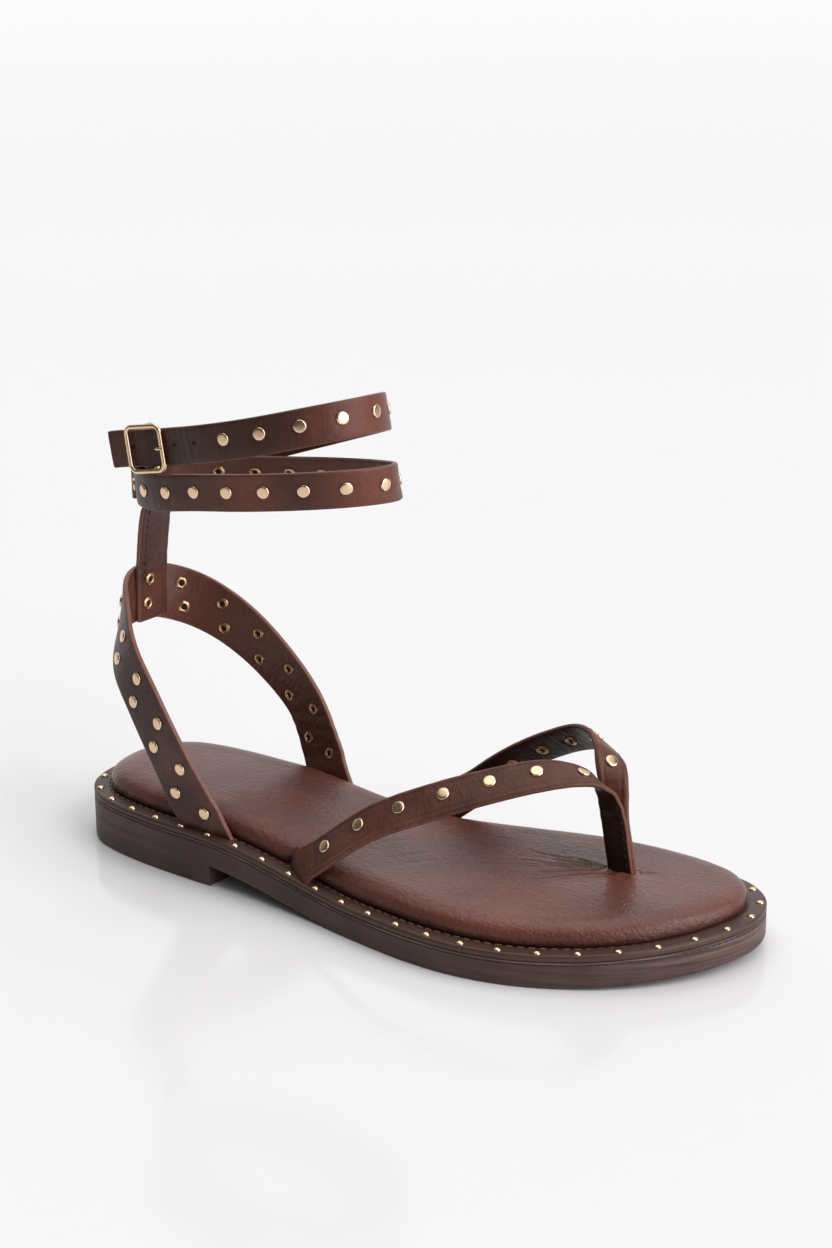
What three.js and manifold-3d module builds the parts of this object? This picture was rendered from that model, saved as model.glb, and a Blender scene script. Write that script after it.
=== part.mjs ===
// A flat thong sandal for the right foot, with a riveted heel strap and a double ankle strap.
//
// Frame: millimetres, +X to the toe, +Y to the inner side of the foot, +Z up. The sandal stands
// on z = 0, and the origin is under the middle of its box.

import * as THREE from 'three'
import { mergeVertices } from 'three/addons/utils/BufferGeometryUtils.js'
import Module from 'manifold-3d'

// Driving dimensions, in millimetres.

const SOLE_LENGTH = 258
const BALL_WIDTH = 100
const HEEL_HEIGHT = 7.4
const TOE_SPRING = 3.4
const OUTSOLE_THICKNESS = 8.6
const WELT_THICKNESS = 2
const FOOTBED_THICKNESS = 7.8
const FOOTBED_INSET = 6.4
const FOOTBED_ROLL = 6
const EDGE_BEVEL = 0.5
const FIT_GAP = 0.3

const STRAP_THICKNESS = 2.2
const THONG_WIDTH = 13.7
const THONG_RISE = 43.5
const POST_WIDTH = 9.2
const HEEL_STRAP_WIDTH = 20
const HEEL_STRAP_RISE = 69.6
const TAB_WIDTH = 15.6
const SLEEVE_WIDTH = 8.4
const TAB_ACROSS = 0.6
const ANKLE_STRAP_WIDTH = 13
const ANKLE_LOOP_LENGTH = 102
const ANKLE_LOOP_WIDTH = 56
const ANKLE_RISE = 111.7
const ANKLE_LOOP_DROP = 24

const BUCKLE_LENGTH = 17.3
const BUCKLE_HEIGHT = 17.2
const BUCKLE_WIRE = 1.7
const PRONG_DIAMETER = 1.2
const PRONG_PAST = 0.9
const BUCKLE_CORNER = 2.2
const BAR_SHARE = 0.9
const BUCKLE_PLAY = 0.45

const STUD_DIAMETER = 4.4
const STUD_HEIGHT = 0.9
const STUD_PITCH_HEEL = 17.5
const STUD_PITCH_THONG = 15.6
const STUD_PITCH_THONG_INNER = 14.6
const STUD_ROW_SPACING = 8
const STUD_STAND_OFF = 0.1
const FIRST_STUD = 25
const FIRST_STUD_INNER = 24
const THONG_STUD_OFFSET = 1.2
const HEEL_STUD_MIDDLE_UPPER = 0.4898
const HEEL_STUD_MIDDLE_LOWER = 0.4933
const THONG_BARE_END = 42
const HEEL_BARE_END_UPPER = 13
const HEEL_BARE_END_LOWER = 30

// How finely the round forms are divided.

const OUTLINE_STEPS = 40
const THONG_STEPS = 30
const HEEL_STRAP_STEPS = 54
const TAB_STEPS = 26
const ANKLE_STEPS = 84
const STUD_SIDES = 10
const WIRE_SIDES = 8
const BUCKLE_STEPS = 48
const PRONG_STEPS = 12
const BAR_STEPS = 30
const UNDERSIDE_STEPS = 14

// Half the outline of the sole, as shares: along the length from the heel, and out from the
// centre line in ball widths, to the outer and the inner side of the foot.

const OUTLINE = [
  { along: 0, outer: 0.005, inner: -0.005 },
  { along: 0.0155, outer: 0.178, inner: 0.167 },
  { along: 0.054, outer: 0.283, inner: 0.264 },
  { along: 0.093, outer: 0.327, inner: 0.302 },
  { along: 0.171, outer: 0.366, inner: 0.324 },
  { along: 0.248, outer: 0.384, inner: 0.316 },
  { along: 0.326, outer: 0.396, inner: 0.303 },
  { along: 0.403, outer: 0.414, inner: 0.303 },
  { along: 0.481, outer: 0.442, inner: 0.327 },
  { along: 0.558, outer: 0.479, inner: 0.377 },
  { along: 0.636, outer: 0.51, inner: 0.435 },
  { along: 0.713, outer: 0.514, inner: 0.484 },
  { along: 0.791, outer: 0.473, inner: 0.503 },
  { along: 0.868, outer: 0.379, inner: 0.481 },
  { along: 0.907, outer: 0.305, inner: 0.45 },
  { along: 0.946, outer: 0.202, inner: 0.398 },
  { along: 0.984, outer: 0.041, inner: 0.289 },
  { along: 1, outer: -0.13, inner: 0.13 },
]

// Where the underside leaves the floor, as shares of the length.

const BREAST_AT = 0.291
const ARCH_FROM = 0.26
const ARCH_TO = 0.55
const SPRING_FROM = 0.74

// The straps, as shares. A row is one place on the middle of a strap: along the sole from the
// heel, across in ball widths from the centre line, and up in the strap's own rise above the
// welt. The edge columns point across the strap, to its upper edge, and wide is a share of its
// width. A foot row has a side instead of across and up: it stands in the sole's edge there.

const THONG_OUTER = [
  { foot: 'outer', along: 0.43, bury: 6, edgeX: -0.66, edgeY: 0.4, edgeZ: 0.5, wide: 1 },
  { along: 0.448, across: -0.381, up: 0.08, edgeX: -0.64, edgeY: 0.49, edgeZ: 0.54, wide: 1 },
  { along: 0.471, across: -0.36, up: 0.21, edgeX: -0.62, edgeY: 0.6, edgeZ: 0.51, wide: 1 },
  { along: 0.541, across: -0.317, up: 0.56, edgeX: -0.52, edgeY: 0.61, edgeZ: 0.6, wide: 1 },
  { along: 0.61, across: -0.243, up: 0.755, edgeX: -0.55, edgeY: 0.57, edgeZ: 0.62, wide: 1 },
  { along: 0.672, across: -0.144, up: 0.89, edgeX: -0.59, edgeY: 0.6, edgeZ: 0.54, wide: 1 },
  { along: 0.7256, across: -0.037, up: 0.97, edgeX: -0.62, edgeY: 0.65, edgeZ: 0.45, wide: 1 },
  { along: 0.753, across: 0.032, up: 0.965, edgeX: -0.62, edgeY: 0.72, edgeZ: 0.3, wide: 0.92 },
  { along: 0.774, across: 0.09, up: 0.905, edgeX: -0.75, edgeY: 0.62, edgeZ: 0.1, wide: 0.8 },
  { along: 0.787, across: 0.121, up: 0.78, edgeX: -0.95, edgeY: 0.3, edgeZ: -0.1, wide: 0.71 },
]

const THONG_INNER = [
  { foot: 'inner', along: 0.44, bury: 6, edgeX: -0.7, edgeY: -0.1, edgeZ: 0.7, wide: 1 },
  { foot: 'inner', along: 0.474, bury: -1.6, edgeX: -0.6, edgeY: -0.2, edgeZ: 0.75, wide: 1 },
  { along: 0.506, across: 0.33, up: 0.25, edgeX: -0.55, edgeY: -0.32, edgeZ: 0.75, wide: 1 },
  { along: 0.5357, across: 0.348, up: 0.385, edgeX: -0.52, edgeY: -0.47, edgeZ: 0.7, wide: 1 },
  { along: 0.5705, across: 0.36, up: 0.565, edgeX: -0.46, edgeY: -0.61, edgeZ: 0.65, wide: 1 },
  { along: 0.602, across: 0.366, up: 0.705, edgeX: -0.41, edgeY: -0.66, edgeZ: 0.63, wide: 1 },
  { along: 0.661, across: 0.356, up: 0.9, edgeX: -0.43, edgeY: -0.63, edgeZ: 0.64, wide: 1 },
  { along: 0.709, across: 0.322, up: 1.02, edgeX: -0.44, edgeY: -0.55, edgeZ: 0.71, wide: 0.98 },
  { along: 0.738, across: 0.28, up: 1.05, edgeX: -0.42, edgeY: -0.56, edgeZ: 0.72, wide: 0.92 },
  { along: 0.76, across: 0.235, up: 1.02, edgeX: -0.5, edgeY: -0.6, edgeZ: 0.6, wide: 0.86 },
  { along: 0.778, across: 0.19, up: 0.92, edgeX: -0.75, edgeY: -0.5, edgeZ: 0.2, wide: 0.76 },
  { along: 0.789, across: 0.163, up: 0.77, edgeX: -0.95, edgeY: -0.25, edgeZ: -0.1, wide: 0.7 },
]

const POST_TOP = { along: 0.795, across: 0.14, up: 0.6 }
const POST_FOOT = { along: 0.811, across: 0.144 }
const POST_LEAN = 0.12

const HEEL_STRAP = [
  { foot: 'outer', along: 0.296, bury: 6, edgeX: 0.86, edgeY: 0, edgeZ: 0.5 },
  { along: 0.266, across: -0.352, up: 0.063, edgeX: 0.86, edgeY: -0.05, edgeZ: 0.42 },
  { along: 0.2535, across: -0.358, up: 0.14, edgeX: 0.86, edgeY: -0.07, edgeZ: 0.5 },
  { along: 0.2275, across: -0.374, up: 0.327, edgeX: 0.83, edgeY: -0.15, edgeZ: 0.55 },
  { along: 0.174, across: -0.354, up: 0.602, edgeX: 0.76, edgeY: -0.18, edgeZ: 0.64 },
  { along: 0.128, across: -0.309, up: 0.788, edgeX: 0.65, edgeY: -0.19, edgeZ: 0.74 },
  { along: 0.093, across: -0.216, up: 0.918, edgeX: 0.45, edgeY: -0.18, edgeZ: 0.87 },
  { along: 0.069, across: -0.122, up: 0.98, edgeX: 0.15, edgeY: -0.1, edgeZ: 0.97 },
  { along: 0.0628, across: -0.01, up: 1, edgeX: -0.08, edgeY: 0, edgeZ: 0.97 },
  { along: 0.0678, across: 0.09, up: 0.97, edgeX: -0.08, edgeY: 0.12, edgeZ: 0.95 },
  { along: 0.093, across: 0.187, up: 0.9, edgeX: 0.23, edgeY: 0.15, edgeZ: 0.9 },
  { along: 0.136, across: 0.252, up: 0.79, edgeX: 0.57, edgeY: 0.09, edgeZ: 0.82 },
  { along: 0.19, across: 0.289, up: 0.625, edgeX: 0.68, edgeY: -0.06, edgeZ: 0.73 },
  { along: 0.25, across: 0.3, up: 0.395, edgeX: 0.77, edgeY: -0.16, edgeZ: 0.62 },
  { along: 0.285, across: 0.283, up: 0.16, edgeX: 0.88, edgeY: -0.1, edgeZ: 0.45 },
  { foot: 'inner', along: 0.302, bury: -2.6, edgeX: 0.9, edgeY: -0.08, edgeZ: 0.4 },
  { foot: 'inner', along: 0.327, bury: 6, edgeX: 0.92, edgeY: 0, edgeZ: 0.38 },
]

// The upright tab on the heel strap and the sleeve it folds into. Its rows run from the heel
// strap up, over the ankle strap and down behind it: forward of the heel strap's middle in
// strap thicknesses, and up in shares of the way from the heel strap to the ankle strap.

const TAB = [
  { forward: 0.86, up: -0.24, wide: 1 },
  { forward: 0.95, up: 0.04, wide: 1 },
  { forward: 1.6, up: 0.41, wide: 1 },
  { forward: 2.5, up: 0.7, wide: 1 },
  { forward: 3.1, up: 0.8, wide: 0.9 },
  { forward: 4.25, up: 0.93, wide: 0.54 },
  { forward: 4.3, up: 1.2, wide: 0.54 },
  { forward: 3.7, up: 1.32, wide: 0.54 },
  { forward: 1.9, up: 1.38, wide: 0.54 },
  { forward: 0.05, up: 1.32, wide: 0.54 },
  { forward: -0.32, up: 1.2, wide: 0.54 },
  { forward: -0.35, up: 0.95, wide: 0.54 },
  { forward: -0.32, up: 0.82, wide: 0.54 },
]

// The ankle strap, from its free end through two turns about the ankle to its buckle end:
// ahead of the middle of the loop in loop lengths, across in loop widths from the centre line,
// and up in loop drops above the strap's rise.

const ANKLE_STRAP = [
  { ahead: -0.455, across: -0.333, up: 0.57, edgeX: -0.06 },
  { ahead: -0.4, across: -0.337, up: 0.615, edgeX: -0.12 },
  { ahead: -0.372, across: -0.34, up: 0.633, edgeX: -0.16 },
  { ahead: -0.288, across: -0.347, up: 0.687, edgeX: -0.19 },
  { ahead: -0.208, across: -0.354, up: 0.745, edgeX: -0.22 },
  { ahead: 0, across: -0.42, up: 0.925, edgeX: -0.22 },
  { ahead: 0.192, across: -0.4, up: 1.105, edgeX: -0.21 },
  { ahead: 0.36, across: -0.266, up: 1.275, edgeX: -0.2 },
  { ahead: 0.455, across: -0.068, up: 1.36, edgeX: -0.14 },
  { ahead: 0.47, across: 0.163, up: 1.355, edgeX: -0.13 },
  { ahead: 0.414, across: 0.384, up: 1.26, edgeX: -0.2 },
  { ahead: 0.278, across: 0.566, up: 1.055, edgeX: -0.27 },
  { ahead: 0.103, across: 0.648, up: 0.81, edgeX: -0.3 },
  { ahead: -0.087, across: 0.632, up: 0.55, edgeX: -0.3 },
  { ahead: -0.282, across: 0.489, up: 0.29, edgeX: -0.25 },
  { ahead: -0.42, across: 0.25, up: 0.09, edgeX: -0.15 },
  { ahead: -0.4725, across: 0, up: -0.02, edgeX: -0.1 },
  { ahead: -0.4186, across: -0.184, up: -0.02, edgeX: -0.12 },
  { ahead: -0.288, across: -0.325, up: 0.022, edgeX: -0.15, edgeY: -0.1 },
  { ahead: -0.067, across: -0.393, up: 0.175, edgeX: -0.12, edgeY: -0.1 },
  { ahead: 0.143, across: -0.366, up: 0.275, edgeX: -0.08, edgeY: -0.1 },
  { ahead: 0.341, across: -0.246, up: 0.354, edgeX: 0, edgeY: -0.1 },
  { ahead: 0.467, across: -0.064, up: 0.385, edgeX: 0.08, edgeY: -0.05 },
  { ahead: 0.512, across: 0.146, up: 0.37, edgeX: 0.06, edgeY: -0.05 },
  { ahead: 0.475, across: 0.336, up: 0.315, edgeX: -0.05, edgeY: -0.2 },
  { ahead: 0.344, across: 0.477, up: 0.235, edgeX: -0.08, edgeY: -0.35 },
  { ahead: 0.164, across: 0.527, up: 0.155, edgeX: -0.05, edgeY: -0.4 },
  { ahead: -0.041, across: 0.507, up: 0.075, edgeX: 0, edgeY: -0.4 },
  { ahead: -0.256, across: 0.404, up: 0.02, edgeX: 0.05, edgeY: -0.3 },
  { ahead: -0.4, across: 0.22, up: 0.03, edgeX: 0, edgeY: -0.1 },
  { ahead: -0.4445, across: 0, up: 0.08, edgeX: -0.05 },
  { ahead: -0.396, across: -0.136, up: 0.25, edgeX: -0.2 },
  { ahead: -0.352, across: -0.218, up: 0.5, edgeX: -0.2 },
  { ahead: -0.283, across: -0.247, up: 0.68, edgeX: -0.2 },
]

const ANKLE_CENTRE_ALONG = 0.2575
const ANKLE_BASE_ALONG = 0.1
const BUCKLE_AT = 0.036
const SECTION_CORNER = 0.6
const SEAT_PAST_END = 1.2
const SOLE_MARGIN = 4
const ROW_STEP = 0.0005

const wasm = await Module()
wasm.setup()

// Sole

function alongToX(along) {
  return (along - 0.5) * SOLE_LENGTH
}

/** How high the underside of the sole slab stands at x, with the arch and the toe spring. */
function liftAt(x) {
  const along = x / SOLE_LENGTH + 0.5
  const fall = THREE.MathUtils.smoothstep(along, ARCH_FROM, ARCH_TO)
  const spring = Math.max(0, (along - SPRING_FROM) / (1 - SPRING_FROM))
  return HEEL_HEIGHT * (1 - fall) + TOE_SPRING * spring * spring
}

function weltTopAt(x) {
  return liftAt(x) + OUTSOLE_THICKNESS + FIT_GAP + WELT_THICKNESS
}

/** The sole's outline as points from heel to toe on the outer side, then back on the inner. */
function outlinePoints() {
  const at = (row, side) => new THREE.Vector3(alongToX(row.along), side * BALL_WIDTH, 0)
  const outer = OUTLINE.map((row) => at(row, -row.outer))
  const inner = OUTLINE.slice(1, -1).map((row) => at(row, row.inner)).reverse()
  const loop = new THREE.CatmullRomCurve3([...outer, ...inner], true, 'centripetal')
  const dense = loop.getPoints(2000).slice(0, -1)
  const toe = dense.reduce((best, p, i) => (p.x > dense[best].x ? i : best), 0)
  const heel = dense.reduce((best, p, i) => (p.x < dense[best].x ? i : best), 0)
  const spread = (from, to) => {
    const count = (to - from + dense.length) % dense.length
    const walk = Array.from({ length: count + 1 }, (_, i) => dense[(from + i) % dense.length])
    return new THREE.CatmullRomCurve3(walk).getSpacedPoints(OUTLINE_STEPS)
  }
  return [...spread(heel, toe).slice(0, -1), ...spread(toe, heel).slice(0, -1)]
}

const OUTLINE_LOOP = outlinePoints()

/** The outline moved in by a distance, point for point. */
function insetLoop(distance) {
  const count = OUTLINE_LOOP.length
  return OUTLINE_LOOP.map((p, i) => {
    const before = OUTLINE_LOOP[(i - 1 + count) % count]
    const after = OUTLINE_LOOP[(i + 1) % count]
    const run = after.clone().sub(before).normalize()
    return new THREE.Vector3(p.x - run.y * distance, p.y + run.x * distance, 0)
  })
}

/** The y of an inset outline at x, on the outer or the inner side of the foot. */
function sideAt(distance, x, side) {
  const loop = insetLoop(distance)
  const half = OUTLINE_STEPS
  const start = side === 'outer' ? 0 : half
  for (let i = start; i < start + half; i += 1) {
    const a = loop[i]
    const b = loop[(i + 1) % loop.length]
    if ((a.x - x) * (b.x - x) <= 0 && a.x !== b.x) {
      return a.y + ((x - a.x) / (b.x - a.x)) * (b.y - a.y)
    }
  }
  throw new Error(`the outline has no ${side} side at x = ${x}`)
}

/** A closed solid through rings of equal count, closed at both ends by strips across. */
function solidThroughRings(rings, stripAcross) {
  const count = rings[0].length
  const vertices = rings.flat()
  const index = []
  for (let r = 0; r < rings.length - 1; r += 1) {
    for (let i = 0; i < count; i += 1) {
      const j = (i + 1) % count
      const a = r * count + i
      const b = r * count + j
      index.push(a, b, a + count, b, b + count, a + count)
    }
  }
  const last = (rings.length - 1) * count
  for (const [a, b, c] of stripAcross(count)) {
    index.push(a, c, b)
    index.push(last + a, last + b, last + c)
  }
  const geometry = new THREE.BufferGeometry()
  const flat = vertices.flatMap((p) => [p.x, p.y, p.z])
  geometry.setAttribute('position', new THREE.Float32BufferAttribute(flat, 3))
  geometry.setIndex(index)
  return facingOut(geometry)
}

/** Turns a closed geometry's faces outward. */
function facingOut(geometry) {
  const position = geometry.attributes.position
  const index = geometry.index.array
  const [a, b, c] = [new THREE.Vector3(), new THREE.Vector3(), new THREE.Vector3()]
  let volume = 0
  for (let i = 0; i < index.length; i += 3) {
    a.fromBufferAttribute(position, index[i])
    b.fromBufferAttribute(position, index[i + 1])
    c.fromBufferAttribute(position, index[i + 2])
    volume += a.dot(b.cross(c))
  }
  if (volume < 0) {
    const turned = Array.from(index)
    for (let i = 0; i < turned.length; i += 3) {
      [turned[i], turned[i + 1]] = [turned[i + 1], turned[i]]
    }
    geometry.setIndex(turned)
  }
  return geometry
}

/** Triangles that close a sole ring, from the outer side straight across to the inner. */
function acrossSole(count) {
  const triangles = []
  for (let i = 0; i < count / 2; i += 1) {
    const mirror = (count - i) % count
    const next = i + 1
    const mirrorNext = count - next
    if (i > 0) {
      triangles.push([i, next, mirror])
    }
    if (next < count / 2) {
      triangles.push([next, mirrorNext, mirror])
    }
  }
  return triangles
}

/** Triangles that close a strap's section, which is convex. */
function acrossStrap(count) {
  return Array.from({ length: count - 2 }, (_, i) => [0, i + 1, i + 2])
}

/** A sole layer: each ring has its inset and a height above the lift at every x. */
function soleLayer(levels) {
  const rings = levels.map(({ inset, above, floor }) =>
    insetLoop(inset).map((p) => new THREE.Vector3(p.x, p.y, floor ? above : liftAt(p.x) + above)),
  )
  return solidThroughRings(rings, acrossSole)
}

function manifoldOf(geometry) {
  const bare = geometry.clone()
  bare.deleteAttribute('normal')
  bare.deleteAttribute('uv')
  const merged = mergeVertices(bare, 1e-4)
  const mesh = new wasm.Mesh({
    numProp: 3,
    vertProperties: new Float32Array(merged.attributes.position.array),
    triVerts: new Uint32Array(merged.index.array),
  })
  return new wasm.Manifold(mesh)
}

function geometryOf(manifold) {
  const mesh = manifold.getMesh()
  const geometry = new THREE.BufferGeometry()
  geometry.setAttribute('position', new THREE.Float32BufferAttribute(mesh.vertProperties, 3))
  geometry.setIndex(Array.from(mesh.triVerts))
  return geometry
}

function cut(geometry, cutters) {
  const cutAway = (body, cutter) => body.subtract(manifoldOf(cutter))
  return geometryOf(cutters.reduce(cutAway, manifoldOf(geometry)))
}

function join(geometries) {
  return geometryOf(geometries.map(manifoldOf).reduce((body, next) => body.add(next)))
}

/** What lies under the sole between two shares of its length, as wide as the sole. */
function undersideVoid(from, to, wallAt) {
  const steps = UNDERSIDE_STEPS
  const profile = new THREE.Shape()
  profile.moveTo(alongToX(from), -HEEL_HEIGHT)
  for (let i = 0; i <= steps; i += 1) {
    const x = alongToX(from + ((to - from) * i) / steps)
    profile.lineTo(x, i === 0 && !wallAt ? 0 : liftAt(x))
  }
  profile.lineTo(alongToX(to), -HEEL_HEIGHT)
  const depth = BALL_WIDTH * 2
  const geometry = new THREE.ExtrudeGeometry(profile, { depth, bevelEnabled: false })
  return geometry.rotateX(Math.PI / 2).translate(0, depth / 2, 0)
}

function outsoleGeometry() {
  const body = soleLayer([
    { inset: EDGE_BEVEL, above: 0, floor: true },
    { inset: 0, above: EDGE_BEVEL, floor: true },
    { inset: 0, above: OUTSOLE_THICKNESS - EDGE_BEVEL },
    { inset: EDGE_BEVEL, above: OUTSOLE_THICKNESS },
  ])
  const toeEnd = 1.02
  return cut(body, [
    undersideVoid(BREAST_AT, ARCH_TO, true),
    undersideVoid(SPRING_FROM, toeEnd, false),
  ])
}

function weltGeometry(straps) {
  const base = OUTSOLE_THICKNESS + FIT_GAP
  const body = soleLayer([
    { inset: EDGE_BEVEL, above: base },
    { inset: 0, above: base + EDGE_BEVEL },
    { inset: 0, above: base + WELT_THICKNESS - EDGE_BEVEL },
    { inset: EDGE_BEVEL, above: base + WELT_THICKNESS },
  ])
  return cut(body, straps)
}

function insoleGeometry(straps) {
  const base = OUTSOLE_THICKNESS + WELT_THICKNESS + 2 * FIT_GAP
  const rolled = (turn) => ({
    inset: FOOTBED_INSET + FOOTBED_ROLL * (1 - Math.cos(turn)),
    above: base + FOOTBED_THICKNESS * (0.3 + 0.7 * Math.sin(turn)),
  })
  const body = soleLayer([
    { inset: FOOTBED_INSET + EDGE_BEVEL, above: base },
    rolled(0),
    rolled(Math.PI * 0.2),
    rolled(Math.PI * 0.35),
    rolled(Math.PI * 0.5),
  ])
  return cut(body, straps)
}

// Straps

/** One place on a strap's middle line, from a row of its table. */
function strapPoint(row, rise) {
  const x = alongToX(row.along)
  if (row.foot) {
    const inset = FOOTBED_INSET - FIT_GAP - STRAP_THICKNESS / 2
    const y = sideAt(inset, x, row.foot)
    return new THREE.Vector3(x, y, weltTopAt(x) - row.bury * (WELT_THICKNESS - FIT_GAP))
  }
  return new THREE.Vector3(x, row.across * BALL_WIDTH, weltTopAt(x) + row.up * rise)
}

function edgeOf(row) {
  return new THREE.Vector3(row.edgeX ?? 0, row.edgeY ?? 0, row.edgeZ ?? 1).normalize()
}

/** A strap's middle line: places, directions along and across, and widths, evenly spaced. */
function strapLine(points, edges, widths, steps) {
  const middle = new THREE.CatmullRomCurve3(points, false, 'centripetal')
  const edge = new THREE.CatmullRomCurve3(edges)
  const width = new THREE.CatmullRomCurve3(widths.map((w) => new THREE.Vector3(w, 0, 0)))
  middle.arcLengthDivisions = 1200
  const at = (share) => {
    const t = middle.getUtoTmapping(share)
    const place = middle.getPoint(t)
    const along = middle.getTangent(t)
    const across = edge.getPoint(t)
    across.addScaledVector(along, -across.dot(along)).normalize()
    const out = new THREE.Vector3().crossVectors(along, across).normalize()
    return { place, along, across, out, width: width.getPoint(t).x }
  }
  const stations = Array.from({ length: steps + 1 }, (_, i) => at(i / steps))
  return { at, stations, length: middle.getLength() }
}

/** A strap solid with a section that has its corners cut, larger all round by spare. */
function strapGeometry(line, thickness, spare = 0) {
  const corner = Math.min(SECTION_CORNER, thickness / 4)
  const rings = line.stations.map(({ place, across, out, width }) => {
    const w = width / 2 + spare
    const t = thickness / 2 + spare
    const section = [
      [w - corner, t], [w, t - corner], [w, corner - t], [w - corner, -t],
      [corner - w, -t], [-w, corner - t], [-w, t - corner], [corner - w, t],
    ]
    return section.map(([a, b]) => place.clone().addScaledVector(across, a).addScaledVector(out, b))
  })
  if (spare > 0) {
    const past = spare + SEAT_PAST_END
    rings[0].forEach((p) => p.addScaledVector(line.stations[0].along, -past))
    rings.at(-1).forEach((p) => p.addScaledVector(line.stations.at(-1).along, past))
  }
  return solidThroughRings(rings, acrossStrap)
}

/** A strap from its table: rows to points, edges and widths. */
function strapFromRows(rows, rise, width, steps) {
  const points = rows.map((row) => strapPoint(row, rise))
  return strapLine(points, rows.map(edgeOf), rows.map((row) => width * (row.wide ?? 1)), steps)
}

/** One half of the thong: its strap, turned down into its layer of the toe post. */
function thongLine(rows, layer) {
  const points = rows.map((row) => strapPoint(row, THONG_RISE))
  const top = strapPoint(POST_TOP, THONG_RISE)
  const footX = alongToX(POST_FOOT.along)
  const footZ = weltTopAt(footX) + FIT_GAP + POST_WIDTH * POST_LEAN
  const foot = new THREE.Vector3(footX, POST_FOOT.across * BALL_WIDTH, footZ)
  const shift = (layer * STRAP_THICKNESS * 0.98) / 2
  const post = [top, top.clone().lerp(foot, 0.5), foot]
  post.forEach((p) => points.push(p.clone().setY(p.y + shift)))
  const down = new THREE.Vector3(-1, 0, -POST_LEAN)
  const edges = [...rows.map(edgeOf), down, down, down]
  const widths = rows.map((row) => THONG_WIDTH * row.wide)
  widths.push(POST_WIDTH, POST_WIDTH, POST_WIDTH)
  return strapLine(points, edges, widths, THONG_STEPS)
}

/** The tab and sleeve line, standing on the middle of the heel strap's inner face. */
function tabLine(heelLine) {
  const seat = heelLine.at(0.5).place
  const way = ANKLE_RISE + weltTopAt(seat.x) - seat.z
  const points = TAB.map((row) =>
    new THREE.Vector3(seat.x + row.forward * STRAP_THICKNESS, TAB_ACROSS, seat.z + row.up * way))
  const edges = TAB.map(() => new THREE.Vector3(0, 1, 0))
  const taper = (SLEEVE_WIDTH / TAB_WIDTH)
  const widths = TAB.map((row) => TAB_WIDTH * Math.max(row.wide, taper))
  return strapLine(points, edges, widths, TAB_STEPS)
}

function ankleLine() {
  const centreX = alongToX(ANKLE_CENTRE_ALONG)
  const base = weltTopAt(alongToX(ANKLE_BASE_ALONG)) + ANKLE_RISE
  const points = ANKLE_STRAP.map((row) => new THREE.Vector3(
    centreX + row.ahead * ANKLE_LOOP_LENGTH,
    row.across * ANKLE_LOOP_WIDTH,
    base + row.up * ANKLE_LOOP_DROP,
  ))
  const widths = ANKLE_STRAP.map(() => ANKLE_STRAP_WIDTH)
  return strapLine(points, ANKLE_STRAP.map(edgeOf), widths, ANKLE_STEPS)
}

// Buckle

/** The buckle's own frame: x along the strap, y across it, z out from the ankle. */
function buckleFrame(line) {
  const seat = line.at(BUCKLE_AT)
  const basis = new THREE.Matrix4().makeBasis(seat.along, seat.across, seat.out)
  return basis.setPosition(seat.place)
}

const BUCKLE_RADIUS = BUCKLE_WIRE / 2
const OVER_STRAP = STRAP_THICKNESS / 2 + BUCKLE_PLAY + BUCKLE_RADIUS

/** A wire of round section along a curve. */
function wireAlong(curve, steps, radius) {
  const section = new THREE.Shape()
  section.absarc(0, 0, radius, 0, Math.PI * 2)
  return new THREE.ExtrudeGeometry(section, {
    steps,
    extrudePath: curve,
    curveSegments: WIRE_SIDES / 2,
  })
}

/** The flat ring in front of the strap, and the bar that reaches round behind it. */
function buckleGeometry() {
  const halfLength = (BUCKLE_LENGTH - BUCKLE_WIRE) / 2
  const halfHeight = (BUCKLE_HEIGHT - BUCKLE_WIRE) / 2
  const corner = BUCKLE_CORNER
  const rows = []
  const cornerAt = (cx, cy, from) => {
    for (let i = 0; i <= 4; i += 1) {
      const turn = from + (i * Math.PI) / 8
      const x = cx + corner * Math.cos(turn)
      const y = cy + corner * Math.sin(turn)
      rows.push(new THREE.Vector3(x, y, OVER_STRAP))
    }
  }
  const railMiddle = (y) => rows.push(new THREE.Vector3(0, y, OVER_STRAP))
  cornerAt(halfLength - corner, halfHeight - corner, 0)
  railMiddle(halfHeight)
  cornerAt(corner - halfLength, halfHeight - corner, Math.PI / 2)
  cornerAt(corner - halfLength, corner - halfHeight, Math.PI)
  railMiddle(-halfHeight)
  cornerAt(halfLength - corner, corner - halfHeight, -Math.PI / 2)
  const loop = new THREE.CatmullRomCurve3(rows, true, 'centripetal')
  const ring = new THREE.TubeGeometry(loop, BUCKLE_STEPS, BUCKLE_RADIUS, WIRE_SIDES, true)
  const legs = [1, -1].map((side) => [
    new THREE.Vector3(0, side * halfHeight, OVER_STRAP),
    new THREE.Vector3(0, side * halfHeight, 0),
    new THREE.Vector3(0, side * halfHeight, BUCKLE_RADIUS - OVER_STRAP),
    new THREE.Vector3(0, side * (halfHeight - 0.3 * BUCKLE_RADIUS), -0.9 * OVER_STRAP),
    new THREE.Vector3(0, side * (halfHeight - BUCKLE_RADIUS), -OVER_STRAP),
    new THREE.Vector3(0, (side * halfHeight) / 2, -OVER_STRAP),
  ])
  const way = new THREE.CatmullRomCurve3([...legs[0], ...legs[1].reverse()], false, 'centripetal')
  return join([ring, wireAlong(way, BAR_STEPS, BAR_SHARE * BUCKLE_RADIUS)])
}

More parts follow.
